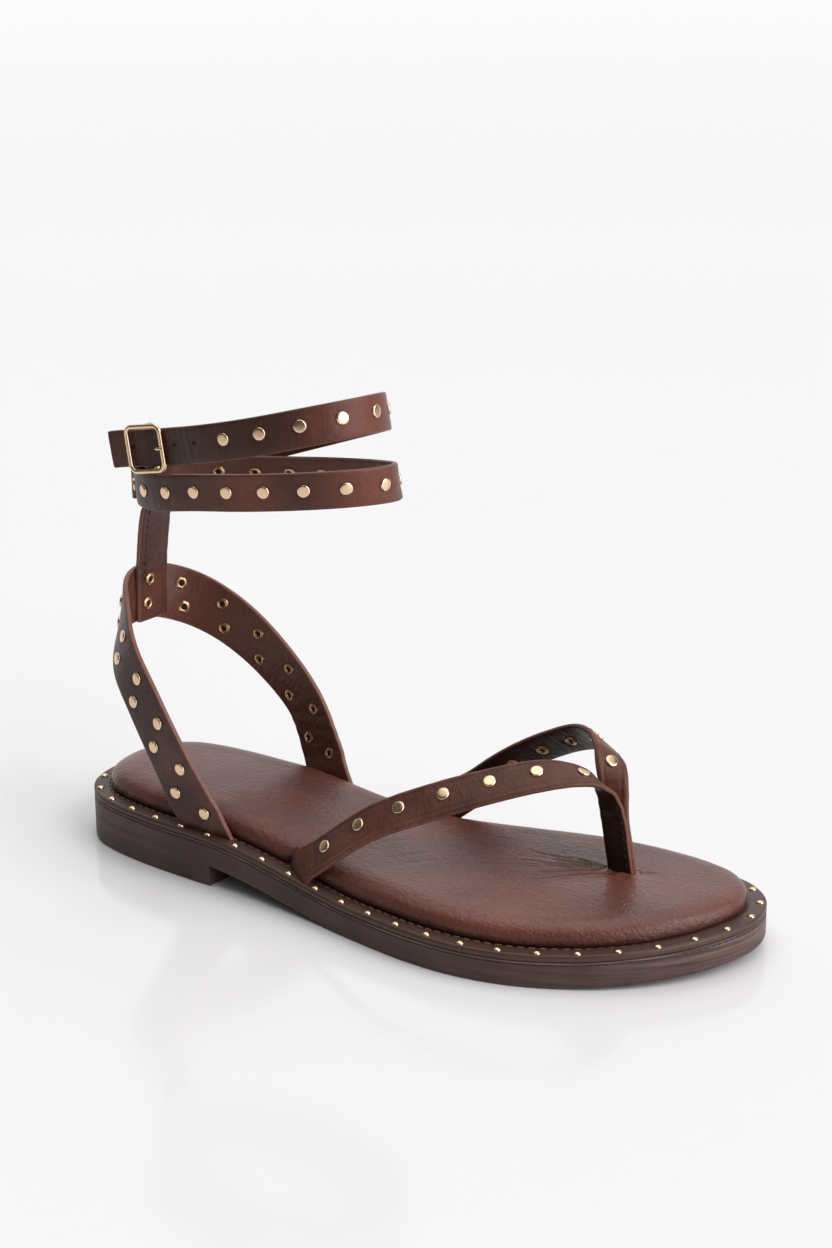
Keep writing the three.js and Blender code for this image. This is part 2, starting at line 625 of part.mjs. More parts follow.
/** The prong: up from the middle bar, through the strap, and out over the front bar. */
function prongGeometry(spare = 0) {
  const radius = PRONG_DIAMETER / 2
  const clear = BUCKLE_RADIUS + FIT_GAP + radius
  const reach = (BUCKLE_LENGTH - BUCKLE_WIRE) / 2
  const path = new THREE.CatmullRomCurve3([
    new THREE.Vector3(clear, 0, -OVER_STRAP),
    new THREE.Vector3(clear + radius, 0, -STRAP_THICKNESS / 4),
    new THREE.Vector3(clear + 2 * radius, 0, STRAP_THICKNESS / 2 + FIT_GAP),
    new THREE.Vector3(reach * 0.6, 0, OVER_STRAP + clear * 0.6),
    new THREE.Vector3(reach + PRONG_PAST, 0, OVER_STRAP + clear),
  ])
  return wireAlong(path, PRONG_STEPS, radius + spare)
}

// Studs

function studGeometry() {
  const radius = STUD_DIAMETER / 2
  const profile = [
    new THREE.Vector2(0, 0),
    new THREE.Vector2(radius, 0),
    new THREE.Vector2(radius * 0.94, STUD_HEIGHT * 0.55),
    new THREE.Vector2(radius * 0.6, STUD_HEIGHT * 0.92),
    new THREE.Vector2(0, STUD_HEIGHT),
  ]
  return new THREE.LatheGeometry(profile, STUD_SIDES)
}

/** The share of a strap's line at a distance from another share, walked along a row of studs. */
function shareAlongRow(line, acrossBy, from, distance) {
  const step = distance < 0 ? -ROW_STEP : ROW_STEP
  const rowPoint = (share) => {
    const { place, across } = line.at(share)
    return place.clone().addScaledVector(across, acrossBy)
  }
  let [share, walked, last] = [from, 0, rowPoint(from)]
  while (walked < Math.abs(distance)) {
    share += step
    const next = rowPoint(share)
    walked += next.distanceTo(last)
    last = next
  }
  return share
}

/** A stud head on a strap's outer face, at a share of its line and a place across it. */
function placeStud(mesh, line, share, acrossBy, outSide) {
  const { place, across, out } = line.at(share)
  const away = out.clone().multiplyScalar(outSide)
  mesh.position.copy(place).addScaledVector(across, acrossBy)
  mesh.position.addScaledVector(away, STRAP_THICKNESS / 2 + FIT_GAP + STUD_STAND_OFF)
  mesh.quaternion.setFromUnitVectors(new THREE.Vector3(0, 1, 0), away)
  return mesh
}

// Assembly

const LEATHER = { color: 0x3f2a25, roughness: 0.45, metalness: 0 }
const FOOTBED_LEATHER = { color: 0x5a382f, roughness: 0.4, metalness: 0 }
const RUBBER = { color: 0x42383a, roughness: 0.6, metalness: 0 }
const GOLD = { color: 0xd8b078, roughness: 0.25, metalness: 1 }

const sandal = new THREE.Group()

function addPiece(name, geometry, look) {
  const mesh = new THREE.Mesh(geometry, new THREE.MeshStandardMaterial(look))
  mesh.name = name
  sandal.add(mesh)
  return mesh
}

const thongOuter = thongLine(THONG_OUTER, -1)
const thongInner = thongLine(THONG_INNER, 1)
const heelLine = strapFromRows(HEEL_STRAP, HEEL_STRAP_RISE, HEEL_STRAP_WIDTH, HEEL_STRAP_STEPS)
const tab = tabLine(heelLine)
const ankle = ankleLine()

const seated = [thongOuter, thongInner, heelLine]
const seats = seated.map((line) => strapGeometry(line, STRAP_THICKNESS, FIT_GAP))

addPiece('outsole', outsoleGeometry(), RUBBER)
addPiece('welt', weltGeometry(seats), LEATHER)
addPiece('insole', insoleGeometry(seats), FOOTBED_LEATHER)

const strapFloor = soleLayer([
  { inset: -SOLE_MARGIN, above: -HEEL_HEIGHT * 2 },
  { inset: -SOLE_MARGIN, above: OUTSOLE_THICKNESS + 2 * FIT_GAP },
])
const thongStraps = [thongOuter, thongInner].map((line) => strapGeometry(line, STRAP_THICKNESS))
addPiece('thong_straps', cut(join(thongStraps), [strapFloor]), LEATHER)

const heelStraps = [heelLine, tab].map((line) => strapGeometry(line, STRAP_THICKNESS))
addPiece('heel_strap', cut(join(heelStraps), [strapFloor]), LEATHER)

const buckleSeat = buckleFrame(ankle)
const prongHole = prongGeometry(FIT_GAP).applyMatrix4(buckleSeat)
const ankleStrap = cut(strapGeometry(ankle, STRAP_THICKNESS), [prongHole])
addPiece('ankle_strap', ankleStrap, LEATHER)
addPiece('buckle_frame', buckleGeometry().applyMatrix4(buckleSeat), GOLD)
addPiece('buckle_prong', join([prongGeometry().applyMatrix4(buckleSeat)]), GOLD)

const stud = studGeometry()

/** Studs along a row of a strap, one at a share of its line and the rest a pitch apart. */
function addStuds(name, line, { at, pitch, bareStart, bareEnd, acrossBy, outSide }) {
  const fitting = (length) => Math.floor(length / pitch)
  const before = fitting(at * line.length - bareStart)
  const after = fitting((1 - at) * line.length - bareEnd)
  for (let i = -before; i <= after; i += 1) {
    const share = shareAlongRow(line, acrossBy, at, i * pitch)
    const mesh = addPiece(`${name}_${i + before + 1}`, stud.clone(), GOLD)
    placeStud(mesh, line, share, acrossBy, outSide)
  }
}

addStuds('thong_stud_outer', thongOuter, {
  at: FIRST_STUD / thongOuter.length, pitch: STUD_PITCH_THONG,
  bareStart: FIRST_STUD, bareEnd: THONG_BARE_END,
  acrossBy: THONG_STUD_OFFSET, outSide: 1,
})
addStuds('thong_stud_inner', thongInner, {
  at: FIRST_STUD_INNER / thongInner.length, pitch: STUD_PITCH_THONG_INNER,
  bareStart: FIRST_STUD_INNER, bareEnd: THONG_BARE_END,
  acrossBy: 0, outSide: -1,
})
addStuds('heel_stud_upper', heelLine, {
  at: HEEL_STUD_MIDDLE_UPPER, pitch: STUD_PITCH_HEEL,
  bareStart: HEEL_BARE_END_UPPER, bareEnd: HEEL_BARE_END_UPPER,
  acrossBy: STUD_ROW_SPACING / 2, outSide: -1,
})
addStuds('heel_stud_lower', heelLine, {
  at: HEEL_STUD_MIDDLE_LOWER, pitch: STUD_PITCH_HEEL,
  bareStart: HEEL_BARE_END_LOWER, bareEnd: HEEL_BARE_END_LOWER,
  acrossBy: -STUD_ROW_SPACING / 2, outSide: -1,
})

const box = new THREE.Box3().setFromObject(sandal)
const centre = box.getCenter(new THREE.Vector3())
sandal.position.set(-centre.x, -centre.y, 0)

export default sandal
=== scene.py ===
"""A flat thong sandal with riveted straps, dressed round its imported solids.

Lengths are in metres in the part's own frame: +X to the toe, +Y to the inner side of the foot,
+Z up, and the floor at z = 0. Tables hold shares of the named sizes, as the solids do.
"""

import logging
import math
from dataclasses import dataclass
from enum import Enum
from typing import Callable, Iterable, Optional, Sequence

import bpy
import numpy as np
from mathutils import Matrix, Vector

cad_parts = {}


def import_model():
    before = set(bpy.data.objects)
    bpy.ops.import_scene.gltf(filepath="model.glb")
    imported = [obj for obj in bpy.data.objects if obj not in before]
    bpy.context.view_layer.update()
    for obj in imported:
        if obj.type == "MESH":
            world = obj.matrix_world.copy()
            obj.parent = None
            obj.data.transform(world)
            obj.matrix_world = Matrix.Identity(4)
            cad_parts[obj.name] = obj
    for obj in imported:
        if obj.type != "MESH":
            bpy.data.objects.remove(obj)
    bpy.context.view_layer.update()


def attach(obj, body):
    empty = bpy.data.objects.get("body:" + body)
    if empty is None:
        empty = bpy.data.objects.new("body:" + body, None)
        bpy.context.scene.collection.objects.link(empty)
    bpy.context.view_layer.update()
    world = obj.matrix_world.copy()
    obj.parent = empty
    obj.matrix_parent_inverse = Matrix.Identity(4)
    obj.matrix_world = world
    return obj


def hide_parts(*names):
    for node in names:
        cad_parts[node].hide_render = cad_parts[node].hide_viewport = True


log = logging.getLogger("sandal")

MM = 0.001
BODY = "root"

# Creases and folds are drawn deeper than the tables say, so that they show in the render.
CREASE_GAIN = 1.7
FOLD_GAIN = 1.6


class Slot(Enum):
    """The record's material slots."""

    RUBBER = "rubber"
    WELT = "welt_leather"
    FOOTBED = "footbed_leather"
    STRAP = "strap_leather"
    GOLD = "gold_metal"


class Side(Enum):
    """The two faces of a strap, as the sign of its sideways direction."""

    PLUS = 1
    MINUS = -1


# Curves


class SmoothPath:
    """A centripetal Catmull-Rom curve through points, open or closed."""

    def __init__(self, points: Sequence[Sequence[float]], closed: bool = False) -> None:
        """Prepares the cubic of every span.

        Args:
            points: The places that the curve passes.
            closed: Whether the last point runs on into the first.
        """
        p = np.asarray(points, float)
        if closed:
            around = np.vstack([p[-1:], p, p[:2]])
            self.spans = len(p)
        else:
            around = np.vstack([2 * p[0] - p[1], p, 2 * p[-1] - p[-2]])
            self.spans = len(p) - 1
        a, b, c, d = (around[k : k + self.spans] for k in range(4))
        before, within, after = (
            np.sqrt(np.linalg.norm(v - u, axis=1)) for u, v in ((a, b), (b, c), (c, d))
        )
        within = np.where(within < 1e-4, 1, within)[:, None]
        before = np.where(before[:, None] < 1e-4, within, before[:, None])
        after = np.where(after[:, None] < 1e-4, within, after[:, None])
        start = ((b - a) / before - (c - a) / (before + within) + (c - b) / within) * within
        end = ((c - b) / within - (d - b) / (within + after) + (d - c) / after) * within
        self.cubic = (b, start, -3 * b + 3 * c - 2 * start - end, 2 * b - 2 * c + start + end)

    def at(self, t: np.ndarray) -> np.ndarray:
        """The places at parameters from 0 to 1."""
        u = np.clip(np.atleast_1d(t), 0, 1) * self.spans
        i = np.minimum(u.astype(int), self.spans - 1)
        w = (u - i)[:, None]
        return sum(c[i] * w**k for k, c in enumerate(self.cubic))


@dataclass(frozen=True)
class Stations:
    """Places on a strap's middle line with their directions and widths."""

    place: np.ndarray
    along: np.ndarray
    across: np.ndarray
    out: np.ndarray
    width: np.ndarray

    def point(self, across: np.ndarray, out: np.ndarray) -> np.ndarray:
        """The places at distances across the strap and out from its middle."""
        return self.place + self.across * across[:, None] + self.out * out[:, None]


class StrapLine:
    """A strap's middle line, with the direction across it and its width along the way."""

    SAMPLES = 1201
    DELTA = 1e-4

    def __init__(self, points: Sequence, edges: Sequence, widths: Sequence[float]) -> None:
        """Builds the three curves.

        Args:
            points: Places on the middle of the strap, in metres.
            edges: Directions across the strap at those places.
            widths: Widths at those places, in metres.
        """
        self.middle = SmoothPath(np.asarray(points) / MM)
        self.edge = SmoothPath(edges)
        self.spread = SmoothPath([[w / MM, 0, 0] for w in widths])
        self.t = np.linspace(0, 1, self.SAMPLES)
        steps = np.linalg.norm(np.diff(self.middle.at(self.t), axis=0), axis=1)
        self.walked = np.concatenate([[0], np.cumsum(steps)]) * MM
        self.length = float(self.walked[-1])

    def at(self, distance: np.ndarray) -> Stations:
        """The stations at distances in metres from the start of the line."""
        t = np.interp(np.atleast_1d(distance), self.walked, self.t)
        ahead = self.middle.at(np.clip(t + self.DELTA, 0, 1))
        along = unit(ahead - self.middle.at(np.clip(t - self.DELTA, 0, 1)))
        across = self.edge.at(t)
        across = unit(across - along * np.sum(across * along, axis=1)[:, None])
        place = self.middle.at(t) * MM
        return Stations(place, along, across, np.cross(along, across), self.spread.at(t)[:, 0] * MM)

    def row(self, acrossby: float, start: float, pitch: float, before: int, after: int) -> list:
        """Distances along the line of marks a pitch apart, walked along their own row.

        Args:
            acrossby: How far across the strap the row runs.
            start: The distance along the line of mark 0.
            pitch: The distance between marks.
            before: How many marks stand before mark 0.
            after: How many marks stand after it.

        Returns:
            The distances, from the first mark to the last.
        """
        fine = np.linspace(0, self.length, 4000)
        s = self.at(fine)
        points = s.point(np.full(len(fine), acrossby), np.zeros(len(fine)))
        steps = np.linalg.norm(np.diff(points, axis=0), axis=1)
        walked = np.concatenate([[0], np.cumsum(steps)])
        first = np.interp(start, fine, walked)
        marks = first + pitch * np.arange(-before, after + 1)
        return list(np.interp(marks, walked, fine))


def unit(vectors: np.ndarray) -> np.ndarray:
    """Rows scaled to length 1."""
    return vectors / np.linalg.norm(vectors, axis=1)[:, None]


def smooth(x: np.ndarray, low: float, high: float) -> np.ndarray:
    """0 below low, 1 above high, and an even S between."""
    f = np.clip((x - low) / (high - low), 0, 1)
    return f * f * (3 - 2 * f)


# Sole form

OUTLINE = [
    # along the sole, out to the outer side, out to the inner side
    (0, 0.005, -0.005),
    (0.0155, 0.178, 0.167),
    (0.054, 0.283, 0.264),
    (0.093, 0.327, 0.302),
    (0.171, 0.366, 0.324),
    (0.248, 0.384, 0.316),
    (0.326, 0.396, 0.303),
    (0.403, 0.414, 0.303),
    (0.481, 0.442, 0.327),
    (0.558, 0.479, 0.377),
    (0.636, 0.51, 0.435),
    (0.713, 0.514, 0.484),
    (0.791, 0.473, 0.503),
    (0.868, 0.379, 0.481),
    (0.907, 0.305, 0.45),
    (0.946, 0.202, 0.398),
    (0.984, 0.041, 0.289),
    (1, -0.13, 0.13),
]


@dataclass(frozen=True)
class SoleForm:
    """The sizes that all sole layers and strap feet follow."""

    length: float = 258 * MM
    ball_width: float = 100 * MM
    heel_height: float = 7.4 * MM
    toe_spring: float = 3.4 * MM
    outsole_thickness: float = 8.6 * MM
    welt_thickness: float = 2 * MM
    footbed_thickness: float = 7.8 * MM
    footbed_inset: float = 6.4 * MM
    footbed_roll: float = 6 * MM
    fit_gap: float = 0.3 * MM
    strap_thickness: float = 2.2 * MM
    breast_at: float = 0.291
    arch_from: float = 0.26
    arch_to: float = 0.55
    spring_from: float = 0.74
    middle_y: float = 0.66 * MM

    def x_at(self, along: float) -> float:
        """The x of a share of the length."""
        return (along - 0.5) * self.length

    def lift(self, x: np.ndarray) -> np.ndarray:
        """How high the underside of the slab stands at x."""
        along = x / self.length + 0.5
        fall = smooth(along, self.arch_from, self.arch_to)
        spring = np.maximum(0, (along - self.spring_from) / (1 - self.spring_from))
        return self.heel_height * (1 - fall) + self.toe_spring * spring**2

    def welt_top(self, x: np.ndarray) -> np.ndarray:
        """The height of the welt's upper face at x."""
        return self.lift(x) + self.outsole_thickness + self.fit_gap + self.welt_thickness

    def curve(self) -> SmoothPath:
        """The outline as a closed curve, from the heel along the outer side."""
        outer = [(self.x_at(a), -o * self.ball_width, 0) for a, o, _ in OUTLINE]
        inner = [(self.x_at(a), i * self.ball_width, 0) for a, _, i in OUTLINE[1:-1]]
        return SmoothPath(np.array(outer + inner[::-1]) / MM, closed=True)

    def outline(self, count: int, extra: Sequence[float] = ()) -> np.ndarray:
        """Points evenly spaced round the sole, with pairs added at given places along x.

        Args:
            count: How many evenly spaced points.
            extra: Values of x that get a close pair of points on each side of the sole.

        Returns:
            The points in order round the sole, in metres, one per row.
        """
        dense = self.curve().at(np.arange(12000) / 12000) * MM
        dense = np.vstack([dense, dense[:1]])
        walked = np.concatenate([[0], np.cumsum(np.linalg.norm(np.diff(dense, axis=0), axis=1))])
        marks = list(np.linspace(0, walked[-1], count, endpoint=False))
        for x in extra:
            crossing = np.nonzero(np.diff(np.sign(dense[:, 0] - x)))[0]
            for i in crossing:
                marks = [m for m in marks if abs(m - walked[i]) > 0.6 * MM]
                marks += [walked[i] - 0.1 * MM, walked[i] + 0.1 * MM]
        marks = np.array(sorted(marks))
        return np.stack([np.interp(marks, walked, dense[:, k]) for k in range(3)], axis=1)

    def inward(self, loop: np.ndarray) -> np.ndarray:
        """The inward direction at each point of a loop round the sole."""
        run = unit(np.roll(loop, -1, axis=0) - np.roll(loop, 1, axis=0))
        return np.stack([-run[:, 1], run[:, 0], np.zeros(len(loop))], axis=1)

    def side_y(self, inset: float, x: float, outer: bool) -> float:
        """The y of the outline moved in by inset, at x, on one side of the foot."""
        loop = self.outline(80)
        loop = loop + self.inward(loop) * inset
        sign = -1 if outer else 1
        near = np.argsort(np.abs(loop[:, 0] - x) + 1e3 * (sign * loop[:, 1] < 0))[:2]
        a, b = loop[near[0]], loop[near[1]]
        return float(a[1] + (x - a[0]) / (b[0] - a[0]) * (b[1] - a[1]))

    def perimeter(self, inset: float, count: int, first: float) -> np.ndarray:
        """Places round the sole at an inset, evenly spaced, the first at a given walk."""
        loop = self.outline(2400)
        loop = loop + self.inward(loop) * inset
        loop = np.vstack([loop, loop[:1]])
        walked = np.concatenate([[0], np.cumsum(np.linalg.norm(np.diff(loop, axis=0), axis=1))])
        marks = (first + walked[-1] * np.arange(count) / count) % walked[-1]
        return np.stack([np.interp(marks, walked, loop[:, k]) for k in range(3)], axis=1)


SOLE = SoleForm()


# Finishes


def linear(hex_colour: str) -> tuple:
    """An sRGB hex colour as linear red, green, blue and full alpha."""
    parts = [int(hex_colour[i : i + 2], 16) / 255 for i in (1, 3, 5)]
    return tuple(c / 12.92 if c <= 0.04045 else ((c + 0.055) / 1.055) ** 2.4 for c in parts) + (1,)


def add(tree: bpy.types.NodeTree, kind: str, inputs: Optional[dict] = None, **settings):
    """Adds one node with its settings, values and links.

    Args:
        tree: The material's node tree.
        kind: The node's type name.
        inputs: Values or output sockets by input name or number.
        settings: Properties of the node itself.

    Returns:
        The new node.
    """
    node = tree.nodes.new(kind)
    for key, value in settings.items():
        setattr(node, key, value)
    for key, value in (inputs or {}).items():
        if isinstance(value, bpy.types.NodeSocket):
            tree.links.new(value, node.inputs[key])
        else:
            node.inputs[key].default_value = value
    return node


def stops(node: bpy.types.Node, *pairs: tuple) -> bpy.types.Node:
    """Sets a colour ramp's stops from pairs of place and hex colour."""
    ramp = node.color_ramp
    while len(ramp.elements) > 1:
        ramp.elements.remove(ramp.elements[-1])
    for i, (place, colour) in enumerate(pairs):
        element = ramp.elements[0] if i == 0 else ramp.elements.new(place)
        element.position = place
        element.color = linear(colour)
    return node


def blank_material(name: str) -> tuple:
    """A material with only a Principled shader and its output.

    Returns:
        The material, its tree and the shader node.
    """
    material = bpy.data.materials.new(name)
    material.use_nodes = True
    tree = material.node_tree
    tree.nodes.clear()
    shader = add(tree, "ShaderNodeBsdfPrincipled")
    add(tree, "ShaderNodeOutputMaterial", {"Surface": shader.outputs["BSDF"]})
    return material, tree, shader


@dataclass(frozen=True)
class LeatherFinish:
    """Chrome-tanned leather with a pigmented, hand-rubbed surface.

    The eye sees a dark brown with redder, lighter places, a fine pebble grain, and a soft
    broad sheen. The redder places are partly rubbed and, on the ankle strap's front curves,
    painted highlight. The edge colour is the cut edge on a strap and painted shade at the
    foot of the footbed's roll.
    """

    name: str
    deep: str
    body: str
    rubbed: str
    edge: str
    lining: str
    roughness: float = 0.42
    specular: float = 0.35
    coat: float = 0.1
    crease_depth: float = 0.1
    patch_mm: float = 34
    # Real grain is about 0.6 mm. It is drawn at 1.1 mm, because finer grain is lost in the
    # render.
    grain_mm: float = 1.1
    grain_depth: float = 0.12
    follows_strap: bool = True

    def build(self) -> bpy.types.Material:
        """Makes the material."""
        material, tree, shader = blank_material(self.name)
        place = add(tree, "ShaderNodeTexCoord").outputs["Object"]
        zone = add(tree, "ShaderNodeAttribute", attribute_name="zone")
        zones = add(tree, "ShaderNodeSeparateXYZ", {0: zone.outputs["Vector"]})
        patches = add(
            tree, "ShaderNodeTexNoise",
            {"Vector": place, "Scale": 1 / (self.patch_mm * MM), "Detail": 3.0, "Roughness": 0.55},
        )
        tone = stops(
            add(tree, "ShaderNodeValToRGB", {"Fac": patches.outputs["Fac"]}),
            (0.3, self.deep), (0.52, self.body), (0.74, self.rubbed),
        )
        # Zone z mixes in the rubbed colour: rubbing, and on the ankle strap painted highlight.
        rubbed = add(
            tree, "ShaderNodeMix",
            {"Factor": zones.outputs["Z"], 6: tone.outputs["Color"], 7: linear(self.rubbed)},
            data_type="RGBA",
        )
        lined = add(
            tree, "ShaderNodeMix",
            {"Factor": zones.outputs["Y"], 6: rubbed.outputs[2], 7: linear(self.lining)},
            data_type="RGBA",
        )
        # Zone x lays on the edge colour: the cut edge on straps, painted shade at the foot of the
        # footbed's roll.
        edged = add(
            tree, "ShaderNodeMix",
            {"Factor": zones.outputs["X"], 6: lined.outputs[2], 7: linear(self.edge)},
            data_type="RGBA",
        )
        speck = add(
            tree, "ShaderNodeTexNoise",
            {"Vector": place, "Scale": 1 / (1.6 * MM), "Detail": 4.0, "Roughness": 0.7},
        )
        light = add(
            tree, "ShaderNodeMapRange",
            {"Value": speck.outputs["Fac"], "From Min": 0.3, "From Max": 0.7, "To Min": 0.86,
             "To Max": 1.14},
        )
        mottled = add(
            tree, "ShaderNodeMix",
            {"Factor": 1.0, 6: edged.outputs[2], 7: light.outputs["Result"]},
            data_type="RGBA", blend_type="MULTIPLY",
        )
        gloss = add(
            tree, "ShaderNodeMapRange",
            {"Value": patches.outputs["Fac"], "From Min": 0.25, "From Max": 0.75,
             "To Min": self.roughness + 0.08, "To Max": self.roughness - 0.06},
        )
        tree.links.new(mottled.outputs[2], shader.inputs["Base Color"])
        tree.links.new(gloss.outputs["Result"], shader.inputs["Roughness"])
        tree.links.new(self.relief(tree, place, zones.outputs["Y"]), shader.inputs["Normal"])
        shader.inputs["Specular IOR Level"].default_value = self.specular
        shader.inputs["Coat Weight"].default_value = self.coat
        shader.inputs["Coat Roughness"].default_value = 0.2
        return material

    def relief(
        self, tree: bpy.types.NodeTree, place: bpy.types.NodeSocket, worn: bpy.types.NodeSocket
    ):
        """Pebble grain with finer wrinkles over it.

        Args:
            tree: The material's node tree.
            place: The Object coordinates.
            worn: How much each place has been worked by the foot.

        Returns:
            The normal's socket.
        """
        pebbles = add(
            tree, "ShaderNodeTexVoronoi",
            {"Vector": place, "Scale": 1 / (self.grain_mm * MM), "Randomness": 1.0},
            feature="SMOOTH_F1",
        )
        if self.follows_strap:
            lay = add(tree, "ShaderNodeAttribute", attribute_name="lay").outputs["Vector"]
            squeeze = (1.0, 0.3, 1.0)
        else:
            lay = place
            squeeze = (0.55, 1.0, 1.0)
        stretched = add(
            tree, "ShaderNodeMapping",
            {"Vector": lay, "Scale": squeeze, "Rotation": (0, 0, math.radians(18))},
        )
        wrinkles = add(
            tree, "ShaderNodeTexNoise",
            {"Vector": stretched.outputs["Vector"], "Scale": 1 / (1.5 * MM), "Detail": 3.0,
             "Roughness": 0.6, "Distortion": 0.6},
        )
        fine = add(
            tree, "ShaderNodeBump",
            {"Height": pebbles.outputs["Distance"], "Strength": self.grain_depth * 0.8,
             "Distance": 0.35 * MM},
        )
        coarse = add(
            tree, "ShaderNodeBump",
            {"Height": wrinkles.outputs["Fac"], "Strength": self.grain_depth * 1.7,
             "Distance": 0.6 * MM, "Normal": fine.outputs["Normal"]},
        )
        # Worked places are creased all over, about 3 mm from crease to crease.
        veins = add(
            tree, "ShaderNodeTexVoronoi",
            {"Vector": stretched.outputs["Vector"], "Scale": 1 / (2.6 * MM), "Randomness": 1.0},
            feature="DISTANCE_TO_EDGE",
        )
        cracks = add(
            tree, "ShaderNodeMapRange",
            {"Value": veins.outputs["Distance"], "From Min": 0.0, "From Max": 0.22},
            interpolation_type="SMOOTHSTEP",
        )
        worked = add(
            tree, "ShaderNodeMath", {0: cracks.outputs["Result"], 1: worn}, operation="MULTIPLY",
        )
        creased = add(
            tree, "ShaderNodeBump",
            {"Height": worked.outputs["Value"], "Strength": self.crease_depth, "Distance": 0.5 * MM,
             "Normal": coarse.outputs["Normal"]},
        )
        return creased.outputs["Normal"]


@dataclass(frozen=True)
class RubberFinish:
    """Moulded rubber, rubbed dark with wax.

    The eye sees a grey brown with faint level streaks, paler where the upper edge is worn, and
    paler on the toe's curve, partly from wear and partly as painted highlight.
    """

    name: str = "waxed_rubber"
    body: str = "#44322e"
    streak: str = "#59433f"
    # Pale colour of worn rubber, laid on the toe's curve partly as painted highlight.
    worn: str = "#8a736c"

    def build(self) -> bpy.types.Material:
        """Makes the material."""
        material, tree, shader = blank_material(self.name)
        place = add(tree, "ShaderNodeTexCoord").outputs["Object"]
        lay = add(tree, "ShaderNodeAttribute", attribute_name="lay").outputs["Vector"]
        zone = add(tree, "ShaderNodeAttribute", attribute_name="zone")
        zones = add(tree, "ShaderNodeSeparateXYZ", {0: zone.outputs["Vector"]})
        # Streaks about 40 mm long and 1 mm high, as a buffing wheel leaves them.
        level = add(tree, "ShaderNodeMapping", {"Vector": lay, "Scale": (0.025, 1.0, 1.0)})
        streaks = add(
            tree, "ShaderNodeTexNoise",
            {"Vector": level.outputs["Vector"], "Scale": 1 / (1.2 * MM), "Detail": 3.0},
        )
        blotch = add(
            tree, "ShaderNodeTexNoise",
            {"Vector": place, "Scale": 1 / (22 * MM), "Detail": 3.0},
        )
        both = add(
            tree, "ShaderNodeMath",
            {0: streaks.outputs["Fac"], 1: blotch.outputs["Fac"]}, operation="MULTIPLY",
        )
        tone = stops(
            add(tree, "ShaderNodeValToRGB", {"Fac": both.outputs["Value"]}),
            (0.16, self.body), (0.36, self.streak),
        )
        scuffs = add(
            tree, "ShaderNodeTexNoise",
            {"Vector": level.outputs["Vector"], "Scale": 1 / (2.2 * MM), "Detail": 6.0,
             "Roughness": 0.75},
        )
        broken = add(
            tree, "ShaderNodeMapRange",
            {"Value": scuffs.outputs["Fac"], "From Min": 0.46, "From Max": 0.62},
        )
        # Zone x pales worn rubber; on the toe's curve this is partly painted highlight.
        wear = add(
            tree, "ShaderNodeMath",
            {0: broken.outputs["Result"], 1: zones.outputs["X"]}, operation="MULTIPLY",
        )
        colour = add(
            tree, "ShaderNodeMix",
            {"Factor": wear.outputs["Value"], 6: tone.outputs["Color"], 7: linear(self.worn)},
            data_type="RGBA",
        )
        pores = add(
            tree, "ShaderNodeTexNoise",
            {"Vector": place, "Scale": 1 / (0.9 * MM), "Detail": 2.0},
        )
        fine = add(
            tree, "ShaderNodeBump",
            {"Height": pores.outputs["Fac"], "Strength": 0.1, "Distance": 0.25 * MM},
        )
        lines = add(
            tree, "ShaderNodeBump",
            {"Height": streaks.outputs["Fac"], "Strength": 0.12, "Distance": 0.3 * MM,
             "Normal": fine.outputs["Normal"]},
        )
        tree.links.new(colour.outputs[2], shader.inputs["Base Color"])
        tree.links.new(lines.outputs["Normal"], shader.inputs["Normal"])
        shader.inputs["Roughness"].default_value = 0.5
        shader.inputs["Specular IOR Level"].default_value = 0.3
        return material


@dataclass(frozen=True)
class MetalFinish:
    """Pale gold plating on pressed brass, polished, with faint wear."""

    name: str
    colour: str
    roughness: float

    def build(self) -> bpy.types.Material:
        """Makes the material."""
        material, tree, shader = blank_material(self.name)
        place = add(tree, "ShaderNodeTexCoord").outputs["Object"]
        cloud = add(
            tree, "ShaderNodeTexNoise", {"Vector": place, "Scale": 1 / (1.5 * MM), "Detail": 3.0}
        )
        gloss = add(
            tree, "ShaderNodeMapRange",
            {"Value": cloud.outputs["Fac"], "From Min": 0.3, "From Max": 0.7,
             "To Min": self.roughness - 0.04, "To Max": self.roughness + 0.08},
        )
        tree.links.new(gloss.outputs["Result"], shader.inputs["Roughness"])
        shader.inputs["Base Color"].default_value = linear(self.colour)
        shader.inputs["Metallic"].default_value = 1.0
        return material


@dataclass(frozen=True)
class PlainFinish:
    """One even colour, for thread, the painted shade inside a hole and the studio floor."""

    name: str
    colour: str
    roughness: float
    specular: float = 0.5

    def build(self) -> bpy.types.Material:
        """Makes the material."""
        material, _, shader = blank_material(self.name)
        shader.inputs["Base Color"].default_value = linear(self.colour)
        shader.inputs["Roughness"].default_value = self.roughness
        shader.inputs["Specular IOR Level"].default_value = self.specular
        return material


